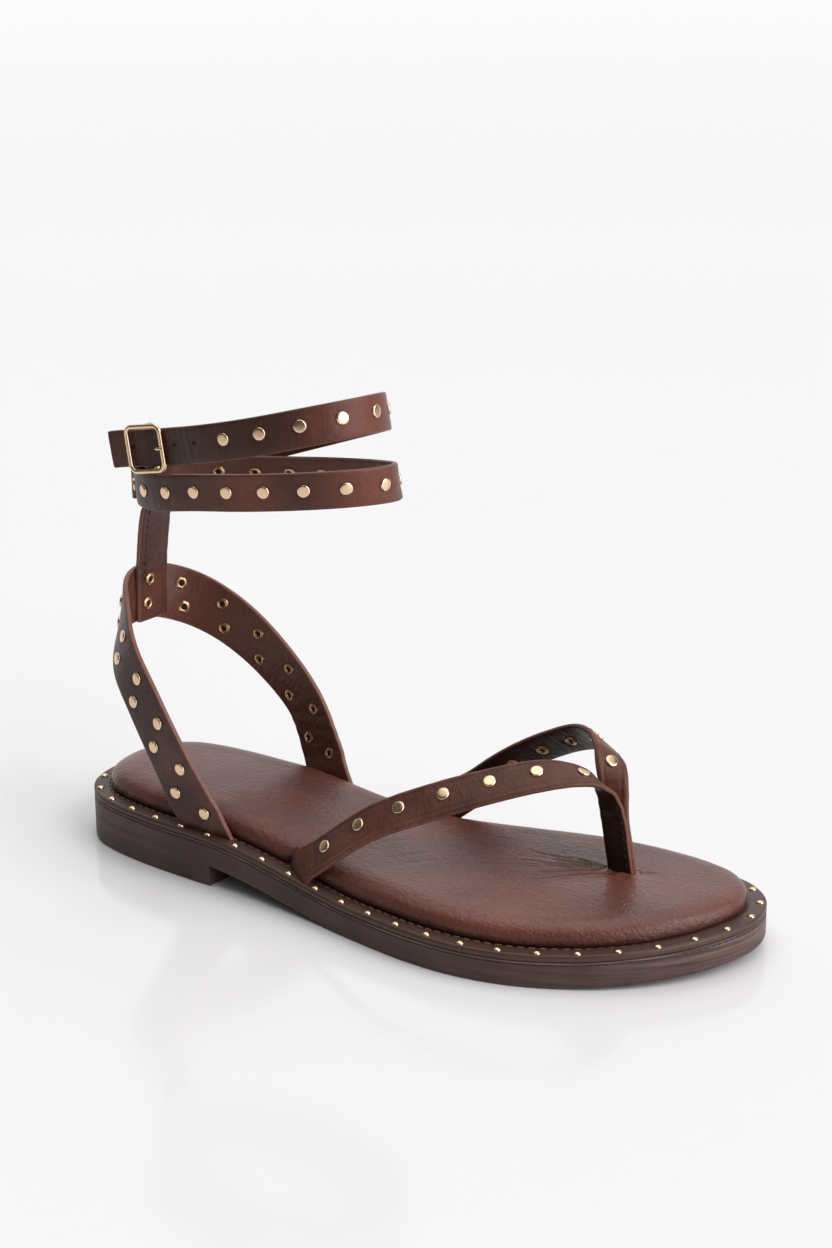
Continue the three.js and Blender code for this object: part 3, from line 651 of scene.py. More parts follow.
@dataclass
class Finishes:
    """Every material of the sandal, built once."""

    strap: bpy.types.Material
    thong: bpy.types.Material
    footbed: bpy.types.Material
    welt: bpy.types.Material
    rubber: bpy.types.Material
    gold: bpy.types.Material
    eyelet: bpy.types.Material
    thread: bpy.types.Material
    welt_thread: bpy.types.Material
    # Painted shade: near-black for the shaded inside of holes.
    hole: bpy.types.Material

    @classmethod
    def build(cls) -> "Finishes":
        """Makes all the finishes."""
        strap = LeatherFinish(
            "strap_leather", deep="#39231c", body="#482b23", rubbed="#6e4034", edge="#7a5449",
            lining="#5f392e", specular=0.22, roughness=0.36, coat=0.04, grain_depth=0.22,
        )
        thong = LeatherFinish(
            "thong_leather", deep="#4a2d25", body="#603b31", rubbed="#7a5043", edge="#7d5748",
            lining="#2c1813", specular=0.18, roughness=0.36, coat=0.05, grain_depth=0.3,
        )
        # The footbed's edge colour is painted shade, laid along the foot of its roll.
        footbed = LeatherFinish(
            "footbed_leather", deep="#4a2822", body="#61362e", rubbed="#744439", edge="#2f1915",
            lining="#42322e", specular=0.34, roughness=0.34, coat=0.12, patch_mm=46,
            grain_depth=0.44, crease_depth=0.55,
            follows_strap=False,
        )
        welt = LeatherFinish(
            "welt_leather", deep="#2f1d18", body="#3b261f", rubbed="#50362d", edge="#4b3329",
            lining="#2d1c17", roughness=0.45, follows_strap=False,
        )
        return cls(
            strap=strap.build(),
            thong=thong.build(),
            footbed=footbed.build(),
            welt=welt.build(),
            rubber=RubberFinish().build(),
            gold=MetalFinish("pale_gold_plate", "#e6c7a4", 0.15).build(),
            eyelet=MetalFinish("dull_gold_plate", "#c9a27c", 0.28).build(),
            thread=PlainFinish("waxed_thread", "#1e1411", 0.6).build(),
            welt_thread=PlainFinish("waxed_welt_thread", "#6a4c40", 0.5).build(),
            # Painted shade: the inside of a hole is laid on near-black.
            hole=PlainFinish("painted_hole_shade", "#120c0a", 0.9).build(),
        )


# Modelling by hand


class Bench:
    """The few modelling moves that every piece is made with."""

    @staticmethod
    def deselect() -> None:
        """Deselects everything, in object mode."""
        if bpy.context.object and bpy.context.object.mode != "OBJECT":
            bpy.ops.object.mode_set(mode="OBJECT")
        bpy.ops.object.select_all(action="DESELECT")

    @staticmethod
    def named(name: str) -> bpy.types.Object:
        """Names the new active object and its mesh."""
        obj = bpy.context.object
        obj.name = name
        obj.data.name = name
        return obj

    @staticmethod
    def read(obj: bpy.types.Object) -> np.ndarray:
        """The places of all vertices."""
        co = np.empty(len(obj.data.vertices) * 3, np.float32)
        obj.data.vertices.foreach_get("co", co)
        return co.reshape(-1, 3).astype(float)

    @staticmethod
    def write(obj: bpy.types.Object, co: np.ndarray) -> None:
        """Moves all vertices."""
        obj.data.vertices.foreach_set("co", np.asarray(co, np.float32).ravel())
        obj.data.update()

    @staticmethod
    def attribute(obj: bpy.types.Object, name: str, values: np.ndarray) -> None:
        """Stores one vector for each vertex."""
        layer = obj.data.attributes.get(name) or obj.data.attributes.new(
            name, "FLOAT_VECTOR", "POINT"
        )
        layer.data.foreach_set("vector", np.asarray(values, np.float32).ravel())

    @staticmethod
    def modify(obj: bpy.types.Object, kind: str, **settings) -> None:
        """Adds a modifier with its settings and applies it."""
        Bench.deselect()
        obj.select_set(True)
        bpy.context.view_layer.objects.active = obj
        modifier = obj.modifiers.new(kind.lower(), kind)
        for key, value in settings.items():
            setattr(modifier, key, value)
        bpy.ops.object.modifier_apply(modifier=modifier.name)

    @staticmethod
    def subdivide(obj: bpy.types.Object, levels: int = 1) -> None:
        """Rounds a mesh by one or more subdivision levels."""
        Bench.modify(obj, "SUBSURF", levels=levels, render_levels=levels)

    @staticmethod
    def edit(obj: bpy.types.Object, select: str = "SELECT") -> None:
        """Enters edit mode on one object, with everything selected or nothing."""
        Bench.deselect()
        obj.select_set(True)
        bpy.context.view_layer.objects.active = obj
        bpy.ops.object.mode_set(mode="EDIT")
        bpy.ops.mesh.select_all(action=select)

    @staticmethod
    def done() -> None:
        """Leaves edit mode."""
        bpy.ops.object.mode_set(mode="OBJECT")

    @staticmethod
    def loft(name: str, rings: np.ndarray, closed: bool = True) -> bpy.types.Object:
        """A grid drawn over rings of points, its side edges joined.

        Args:
            name: The object's name.
            rings: Ring, point on the ring, and x, y, z.
            closed: Whether the last ring also runs on into the first.

        Returns:
            The new object.
        """
        rows, columns = rings.shape[:2]
        wrapped = np.concatenate([rings, rings[:, :1]], axis=1)
        if closed:
            wrapped = np.concatenate([wrapped, wrapped[:1]], axis=0)
            rows += 1
        Bench.deselect()
        bpy.ops.mesh.primitive_grid_add(x_subdivisions=columns, y_subdivisions=rows - 1, size=1)
        obj = Bench.named(name)
        flat = Bench.read(obj)
        ix = np.rint((flat[:, 0] + 0.5) * columns).astype(int)
        iy = np.rint((flat[:, 1] + 0.5) * (rows - 1)).astype(int)
        Bench.write(obj, wrapped[iy, ix])
        Bench.edit(obj)
        bpy.ops.mesh.remove_doubles(threshold=2e-6)
        bpy.ops.mesh.normals_make_consistent(inside=False)
        Bench.done()
        return obj

    @staticmethod
    def copy(obj: bpy.types.Object, name: str) -> bpy.types.Object:
        """A copy with its own mesh."""
        Bench.deselect()
        obj.select_set(True)
        bpy.context.view_layer.objects.active = obj
        bpy.ops.object.duplicate(linked=False)
        return Bench.named(name)

    @staticmethod
    def join(objects: Sequence[bpy.types.Object], name: str) -> bpy.types.Object:
        """Joins objects into the first."""
        Bench.deselect()
        for obj in objects:
            obj.select_set(True)
        bpy.context.view_layer.objects.active = objects[0]
        if len(objects) > 1:
            bpy.ops.object.join()
        return Bench.named(name)

    @staticmethod
    def stand(obj: bpy.types.Object, place: np.ndarray, up: np.ndarray, ahead: np.ndarray) -> None:
        """Moves a piece's mesh from the origin to a place, its +Z to up and +X near ahead."""
        z = np.asarray(up, float) / np.linalg.norm(up)
        x = np.asarray(ahead, float) - z * float(np.dot(ahead, z))
        x = x / np.linalg.norm(x)
        y = np.cross(z, x)
        turn = Matrix(np.column_stack([x, y, z]).tolist()).to_4x4()
        obj.data.transform(Matrix.Translation(Vector(place)) @ turn)
        obj.data.update()

    @staticmethod
    def dress(
        obj: bpy.types.Object,
        material: bpy.types.Material,
        slot: Slot,
        replaces: Iterable[str] = (),
        sharp: float = 40,
    ) -> bpy.types.Object:
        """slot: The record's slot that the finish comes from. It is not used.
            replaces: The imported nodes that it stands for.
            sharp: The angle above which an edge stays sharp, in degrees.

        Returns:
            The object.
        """
        Bench.deselect()
        obj.select_set(True)
        bpy.context.view_layer.objects.active = obj
        bpy.ops.object.shade_smooth_by_angle(angle=math.radians(sharp))
        if not obj.data.materials:
            obj.data.materials.append(material)
        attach(obj, BODY)
        nodes = list(replaces)
        if nodes:
            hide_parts(*nodes)
        log.info("%s: %d faces", obj.name, len(obj.data.polygons))
        return obj


# Sole pieces


@dataclass
class Creases:
    """Troughs and ridges drawn on the footbed, in shares of its length and width.

    A row is: where it starts, where it ends, how wide and how deep in millimetres, and a bow
    to one side in millimetres.
    """

    rows: tuple

    def depth_at(self, x: np.ndarray, y: np.ndarray) -> np.ndarray:
        """How far the surface sinks at places, in metres."""
        sunk = np.zeros(len(x))
        for (ax, ay), (bx, by), width, depth, bow in self.rows:
            a = np.array([SOLE.x_at(ax), ay * SOLE.ball_width])
            b = np.array([SOLE.x_at(bx), by * SOLE.ball_width])
            run = b - a
            length = float(np.linalg.norm(run))
            t = ((x - a[0]) * run[0] + (y - a[1]) * run[1]) / length**2
            aside = ((x - a[0]) * -run[1] + (y - a[1]) * run[0]) / length
            inside = np.clip(t, 0, 1)
            aside = aside - bow * MM * np.sin(np.pi * inside)
            past = (t - inside) * length
            distance = np.sqrt(aside**2 + past**2) / (width * MM)
            fade = 0.35 + 0.65 * np.sin(np.pi * np.clip(inside, 0.02, 0.98))
            trough = np.exp(-(distance**2))
            ridge = 0.45 * np.exp(-((distance - 1.7) ** 2) / 0.6)
            sunk += CREASE_GAIN * depth * MM * fade * (trough - ridge)
        return sunk


FOOTBED_CREASES = Creases(
    rows=(
        ((0.72, -0.02), (0.806, 0.112), 0.8, 0.28, 1.5),
        ((0.705, 0.05), (0.8, 0.118), 0.7, 0.24, 1.0),
        ((0.715, 0.1), (0.8, 0.128), 0.6, 0.22, 0.6),
        ((0.735, -0.07), (0.81, 0.1), 0.7, 0.2, 2.0),
        ((0.69, 0.02), (0.765, 0.07), 0.6, 0.16, 1.0),
        ((0.73, 0.15), (0.8, 0.15), 0.6, 0.18, -0.8),
        ((0.76, 0.0), (0.82, 0.1), 0.6, 0.18, 1.6),
        ((0.78, 0.0), (0.828, 0.09), 0.6, 0.14, 1.4),
        ((0.67, 0.12), (0.76, 0.15), 0.8, 0.14, -1.0),
        ((0.65, -0.02), (0.71, 0.06), 0.9, 0.12, 1.2),
        ((0.825, 0.15), (0.86, 0.17), 0.6, 0.14, 0.5),
        ((0.54, -0.2), (0.58, -0.06), 1.4, 0.12, 1.0),
        ((0.56, -0.24), (0.61, -0.1), 1.2, 0.1, 1.5),
        ((0.5, -0.14), (0.53, -0.02), 1.3, 0.1, 1.0),
    )
)


@dataclass
class SoleUnit:
    """The rubber sole, the welt and the padded footbed."""

    finishes: Finishes
    around: int = 330
    spine_reach: float = 4 * MM
    spine_margin: float = 34 * MM
    footbed_spine_margin: float = 50 * MM
    welt_inner_level: float = 0.86
    rim_stitches: int = 236
    welt_studs: int = 47
    welt_stud_inset: float = 2.17 * MM
    welt_stud_first: float = 13.7 * MM
    welt_stud_radius: float = 1.35 * MM
    welt_stud_height: float = 0.85 * MM
    stitch_pitch: float = 3.6 * MM
    dish: float = 0.5 * MM
    post_x: float = SOLE.x_at(0.811)
    post_y: float = 14.4 * MM

    def spine(self, loop: np.ndarray, margin: float) -> np.ndarray:
        """The middle line that all rings close on: each point's own place on it."""
        x = np.clip(loop[:, 0], loop[:, 0].min() + margin, loop[:, 0].max() - margin)
        fine = np.linspace(x.min(), x.max(), 60)
        slices = [loop[np.abs(loop[:, 0] - f) < self.spine_reach][:, 1] for f in fine]
        low = np.array([side.min() for side in slices])
        high = np.array([side.max() for side in slices])
        return np.stack([x, np.interp(x, fine, (low + high) / 2), 0 * x], axis=1)

    def place(self, co: np.ndarray) -> np.ndarray:
        """Shifts a sole layer to the frame's middle."""
        return co + np.array([0, SOLE.middle_y, 0])

    def outsole(self) -> bpy.types.Object:
        """The rubber sole with its heel, a groove under its upper edge, and its worn places; the pale
        toe is partly painted highlight.
        """
        breast = SOLE.x_at(SOLE.breast_at)
        loop = SOLE.outline(self.around, extra=[breast])
        inward = SOLE.inward(loop)
        spine = self.spine(loop, self.spine_margin)
        lift = SOLE.lift(loop[:, 0])
        floor = np.where(loop[:, 0] < breast, 0, lift)
        top = lift + SOLE.outsole_thickness
        rings = []

        def ring(inset: float, share: float, above: float = 0.0) -> None:
            level = floor + (top - floor) * share + above
            rings.append(loop + inward * inset + np.stack([0 * level, 0 * level, level], 1))

        def toward(share: float, upper: bool) -> None:
            level = top if upper else floor
            edge = loop + inward * 2.5 * MM
            flat = edge + (spine - edge) * share
            rings.append(np.stack([flat[:, 0], flat[:, 1], level], 1))

        for share in (1, 0.8, 0.6, 0.4, 0.2, 0.06):
            toward(share, False)
        for inset, share, above in (
            (1.4, 0, 0), (0.55, 0, 0), (0.18, 0, 0.16), (0.02, 0, 0.6), (0, 0.25, 0),
            (0, 0.5, 0), (0, 0.75, 0), (0, 1, -1.55), (0, 1, -1.25), (0.3, 1, -1.05),
            (0.33, 1, -0.85), (0.05, 1, -0.66), (0, 1, -0.45), (0.1, 1, -0.16), (0.3, 1, 0),
            (1.2, 1, 0),
        ):
            ring(inset * MM, share, above * MM)
        for share in (0.06, 0.4, 1):
            toward(share, True)
        obj = Bench.loft("rubber_sole", self.place(np.array(rings)), closed=False)
        co = Bench.read(obj)
        high = SOLE.lift(co[:, 0]) + SOLE.outsole_thickness - co[:, 2]
        rim = np.clip(1 - np.abs(high - 0.5 * MM) / (0.7 * MM), 0, 1)
        angle = np.arctan2(co[:, 1], co[:, 0] - 30 * MM)
        # Painted highlight and wear: the toe's curve is paled toward the worn colour.
        toe = 0.7 * smooth(co[:, 0], 96 * MM, 126 * MM) * smooth(co[:, 2], 2 * MM, 8 * MM)
        Bench.attribute(obj, "zone", np.stack([np.maximum(rim, toe), 0 * rim, 0 * rim], 1))
        Bench.attribute(obj, "lay", np.stack([angle * 90 * MM, co[:, 2], 0 * rim], 1))
        return Bench.dress(obj, self.finishes.rubber, Slot.RUBBER, ["outsole"], sharp=50)

    def welt(self, pits: np.ndarray) -> bpy.types.Object:
        """The thin leather welt, pressed in a little round each of its studs."""
        loop = SOLE.outline(self.around * 2)
        inward = SOLE.inward(loop)
        base = SOLE.lift(loop[:, 0]) + SOLE.outsole_thickness + 0.05 * MM
        thick = SOLE.welt_thickness + SOLE.fit_gap - 0.05 * MM
        spine = self.spine(loop, self.spine_margin)
        rings = []
        for inset, level in (
            (9, 0), (3, 0), (0.5, 0), (0.14, 0.1), (0, 0.3), (-0.02, 0.5), (0, 0.7),
            (0.16, 0.9), (0.5, 1), (1.1, 1), (1.7, 1), (2.3, 1), (2.9, 1), (3.6, 1),
            (4.3, 1), (5.0, 1), (5.4, 0.97), (5.8, 0.9), (6.3, self.welt_inner_level),
            (7.5, self.welt_inner_level), (9, self.welt_inner_level),
        ):
            height = base + thick * level
            flat = loop + inward * inset * MM
            rings.append(np.stack([flat[:, 0], flat[:, 1], height], 1))
        for share in (0.5, 1):
            edge = loop + inward * 9 * MM
            flat = edge + (spine - edge) * share
            height = base + thick * self.welt_inner_level
            rings.append(np.stack([flat[:, 0], flat[:, 1], height], 1))
        under = rings[0].copy()
        under[:, :2] = spine[:, :2]
        rings.insert(0, under)
        obj = Bench.loft("welt_band", self.place(np.array(rings)), closed=False)
        co = Bench.read(obj)
        upper = co[:, 2] > SOLE.welt_top(co[:, 0]) - 0.4 * MM
        sink = np.zeros(len(co))
        for x, y, _ in self.place(pits):
            near = (co[:, 0] - x) ** 2 + (co[:, 1] - y) ** 2
            sink += 0.22 * MM * np.exp(-near / (2.1 * MM) ** 2)
        wave = 0.06 * MM * np.sin(co[:, 0] / (7 * MM)) * np.cos(co[:, 1] / (9 * MM))
        co[:, 2] -= np.where(upper, sink + wave, 0)
        Bench.write(obj, co)
        from_top = SOLE.welt_top(co[:, 0]) - co[:, 2]
        side = smooth(from_top, 0.15 * MM, 0.6 * MM)
        zone = np.stack([side, 0 * side, 0.3 * (1 - side)], 1)
        Bench.attribute(obj, "zone", zone)
        return Bench.dress(obj, self.finishes.welt, Slot.WELT, ["welt"], sharp=60)

    def footbed(self, pressing: Sequence[tuple]) -> bpy.types.Object:
        """The padded footbed with its rolled edge, creases, strap dents and painted shade at the
        roll's foot.

        Args:
            pressing: Straps that press on it, each a line and the side that faces in.

        Returns:
            The dressed footbed.
        """
        loop = SOLE.outline(self.around)
        inward = SOLE.inward(loop)
        base = SOLE.lift(loop[:, 0]) + SOLE.outsole_thickness
        base = base + SOLE.welt_thickness * self.welt_inner_level
        base = base + SOLE.fit_gap
        sunk = SOLE.welt_thickness * (1 - self.welt_inner_level)
        thick = SOLE.footbed_thickness + SOLE.fit_gap + sunk
        spine = self.spine(loop, self.footbed_spine_margin)
        rings = []
        profile = [(7.4, 0.0), (6.75, 0.01), (6.45, 0.06), (6.35, 0.14)]
        for turn in np.linspace(8, 90, 16):
            t = math.radians(turn)
            way = (1 - math.cos(t) ** 0.8) ** 1.15
            profile.append((6.3 + 11.2 * way, 0.2 + 0.76 * math.sin(t) ** 0.86))
        rise = base - SOLE.lift(loop[:, 0])
        for inset, level in profile:
            flat = loop + inward * inset * MM
            height = SOLE.lift(flat[:, 0]) + rise + thick * level
            rings.append(np.stack([flat[:, 0], flat[:, 1], height], 1))
        edge = loop + inward * 17.5 * MM
        for share in np.linspace(0, 1, 32)[1:]:
            flat = edge + (spine - edge) * share
            level = SOLE.lift(flat[:, 0]) + rise
            swell = 0.05 * (1 - (1 - share) ** 3)
            rings.append(np.stack([flat[:, 0], flat[:, 1], level + thick * (0.96 + swell)], 1))
        under = rings[0].copy()
        under[:, :2] = spine[:, :2]
        rings.insert(0, under)
        obj = Bench.loft("padded_footbed", self.place(np.array(rings)), closed=False)
        Bench.subdivide(obj)
        co = Bench.read(obj)
        top = smooth(co[:, 2] - SOLE.welt_top(co[:, 0]), 4.5 * MM, 7 * MM)
        heel = ((co[:, 0] + 84 * MM) / (30 * MM)) ** 2 + (co[:, 1] / (24 * MM)) ** 2
        ball = ((co[:, 0] - 48 * MM) / (40 * MM)) ** 2 + ((co[:, 1] - 2 * MM) / (34 * MM)) ** 2
        dish = self.dish * (np.exp(-heel * 1.4) + np.exp(-ball * 1.4))
        post = ((co[:, 0] - self.post_x) / (7 * MM)) ** 2 + (
            (co[:, 1] - self.post_y - SOLE.middle_y) / (4 * MM)
        ) ** 2
        tug = 0.8 * MM * np.exp(-post)
        ripple = 0.1 * MM * np.sin(co[:, 0] / (8.3 * MM) + 1.3 * np.sin(co[:, 1] / (13 * MM)))
        ripple = ripple * np.cos(co[:, 1] / (11 * MM) + 0.7)
        folds = FOOTBED_CREASES.depth_at(co[:, 0], co[:, 1] - SOLE.middle_y)
        co[:, 2] -= top * (dish + tug + folds + ripple)
        for line, side in pressing:
            co = press_aside(co, line, side)
        Bench.write(obj, co)
        # Painted shade: the foot of the roll, up to 2.6 mm above the welt, is darkened toward the edge
        # colour.
        low = 1 - smooth(co[:, 2] - SOLE.welt_top(co[:, 0]), 0.2 * MM, 2.6 * MM)
        patch = self.smoke(co)
        Bench.attribute(obj, "zone", np.stack([low, patch, 0 * low], 1))
        return Bench.dress(obj, self.finishes.footbed, Slot.FOOTBED, ["insole"], sharp=70)

    def smoke(self, co: np.ndarray) -> np.ndarray:
        """How dark each place is rubbed, from the listed patches."""
        dark = np.zeros(len(co))
        for along, across, long, wide, much in (
            (0.735, 0.2, 0.07, 0.11, 0.75),
            (0.78, 0.2, 0.04, 0.06, 0.6),
            (0.66, 0.3, 0.05, 0.08, 0.45),
            (0.53, -0.14, 0.07, 0.08, 0.6),
            (0.46, -0.06, 0.06, 0.08, 0.4),
            (0.6, -0.02, 0.05, 0.1, 0.3),
            (0.88, -0.1, 0.05, 0.12, 0.25),
        ):
            x = (co[:, 0] - SOLE.x_at(along)) / (long * SOLE.length)
            y = (co[:, 1] - across * SOLE.ball_width) / (wide * SOLE.ball_width)
            dark = np.maximum(dark, much * np.exp(-(x**2) - y**2))
        return dark

    def studs(self) -> np.ndarray:
        """The welt's small round nails: one modelled, the rest copied.

        Returns:
            Their places, before the layer's shift.
        """
        places = SOLE.perimeter(self.welt_stud_inset, self.welt_studs, self.welt_stud_first)
        Bench.deselect()
        bpy.ops.mesh.primitive_uv_sphere_add(segments=16, ring_count=10, radius=1)
        nail = Bench.named("welt_nail")
        co = Bench.read(nail)
        co[:, 2] = np.maximum(co[:, 2], -0.25)
        co *= [self.welt_stud_radius, self.welt_stud_radius, self.welt_stud_height]
        Bench.write(nail, co)
        for i, (x, y, _) in enumerate(places, start=1):
            slope = (SOLE.welt_top(np.array([x + MM])) - SOLE.welt_top(np.array([x])))[0] / MM
            piece = Bench.copy(nail, f"welt_nail_{i}")
            seat = np.array([x, y, float(SOLE.welt_top(np.array([x]))[0]) - 0.1 * MM])
            Bench.stand(piece, self.place(seat[None])[0], np.array([-slope, 0, 1]), [1, 0, 0])
            Bench.dress(piece, self.finishes.gold, Slot.GOLD, sharp=60)
        bpy.data.objects.remove(nail)
        return places

    def seam(self) -> bpy.types.Object:
        """The stitches in the welt along the foot of the footbed."""
        inset = SOLE.footbed_inset - 0.75 * MM
        loop = SOLE.perimeter(inset, 400, 0)
        round_it = float(np.sum(np.linalg.norm(np.roll(loop, -1, 0) - loop, axis=1)))
        count = int(round_it / self.stitch_pitch)
        places = SOLE.perimeter(inset, count, 0)
        heads = SOLE.perimeter(inset, count, 0.5 * MM) - places
        z = SOLE.welt_top(places[:, 0]) - 0.1 * MM
        spots = [
            (self.place(np.array([[x, y, h]]))[0], run, np.array([0, 0, 1.0]))
            for (x, y, _), h, run in zip(places, z, heads)
        ]
        stitches = sew("footbed_stitches", spots, 2.3 * MM, 0.34 * MM)
        return Bench.dress(stitches, self.finishes.welt_thread, Slot.WELT)

    def rim_seam(self) -> bpy.types.Object:
        """The small stitches that show in the groove under the sole's upper edge."""
        places = SOLE.perimeter(0.24 * MM, self.rim_stitches, 0)
        heads = SOLE.perimeter(0.24 * MM, self.rim_stitches, 0.5 * MM) - places
        aside = np.cross(heads, [0, 0, 1.0])
        z = SOLE.lift(places[:, 0]) + SOLE.outsole_thickness - 0.95 * MM
        spots = [
            (self.place(np.array([[x, y, h]]))[0], run, out)
            for (x, y, _), h, run, out in zip(places, z, heads, aside)
        ]
        stitches = sew("sole_stitches", spots, 1.7 * MM, 0.24 * MM)
        return Bench.dress(stitches, self.finishes.welt, Slot.WELT)

    def build(self, pressing: Sequence[tuple]) -> None:
        """Makes every piece of the sole."""
        self.outsole()
        self.welt(self.studs())
        self.footbed(pressing)
        self.seam()
        self.rim_seam()


def press_aside(co: np.ndarray, line: StrapLine, side: Side) -> np.ndarray:
    """Moves soft material out of a strap, to its inner face.

    Args:
        co: The soft piece's vertices.
        line: The strap's middle line.
        side: Which side of the strap the soft piece lies on.

    Returns:
        The moved vertices.
    """
    near_foot = np.linspace(0, 34 * MM, 60)
    distances = np.concatenate([near_foot, line.length - near_foot])
    s = line.at(distances)
    moved = co.copy()
    clear = SOLE.strap_thickness / 2 + 0.15 * MM
    gap = np.linalg.norm(co[:, None, :] - s.place[None], axis=2)
    nearest = gap.argmin(axis=1)
    close = np.nonzero(gap.min(axis=1) < 22 * MM)[0]
    i = nearest[close]
    offset = co[close] - s.place[i]
    across = np.sum(offset * s.across[i], axis=1)
    depth = np.sum(offset * s.out[i], axis=1) * side.value
    along = np.abs(np.sum(offset * s.along[i], axis=1))
    over = np.abs(across) - s.width[i] / 2
    hold = (1 - smooth(over, 0.2 * MM, 3.2 * MM)) * (1 - smooth(along, 1 * MM, 3 * MM))
    push = np.clip(clear - depth, 0, 5 * MM) * (depth > -7 * MM) * hold
    moved[close] += s.out[i] * (push * side.value)[:, None]
    return moved


def sew(name: str, spots: Sequence[tuple], length: float, radius: float) -> bpy.types.Object:
    """A row of stitches, one modelled and the rest copied, joined as one seam.

    Args:
        name: The seam's name.
        spots: For each stitch its place, the way it runs and the way out of the leather.
        length: A stitch's length.
        radius: The thread's radius.

    Returns:
        The seam.
    """
    Bench.deselect()
    bpy.ops.mesh.primitive_uv_sphere_add(segments=8, ring_count=6, radius=1)
    stitch = Bench.named(name + "_one")
    co = Bench.read(stitch)
    Bench.write(stitch, co * [radius, radius, radius])
    co = Bench.read(stitch)
    co[:, 0] += np.sign(np.round(co[:, 0], 6)) * (length / 2 - radius)
    Bench.write(stitch, co)
    copies = []
    for place, run, out in spots:
        piece = Bench.copy(stitch, name + "_copy")
        Bench.stand(piece, place, out, run)
        copies.append(piece)
    bpy.data.objects.remove(stitch)
    return Bench.join(copies, name)


# Straps


@dataclass(frozen=True)
class Mark:
    """A stud or a hole on a strap: how far along it and how far across, in metres."""

    along: float
    across: float


@dataclass(frozen=True)
class Fold:
    """A soft trough across a strap, in millimetres: place, width, depth, lean and reach."""

    along: float
    width: float
    depth: float
    lean: float = 0.0
    low: float = -20.0
    high: float = 20.0


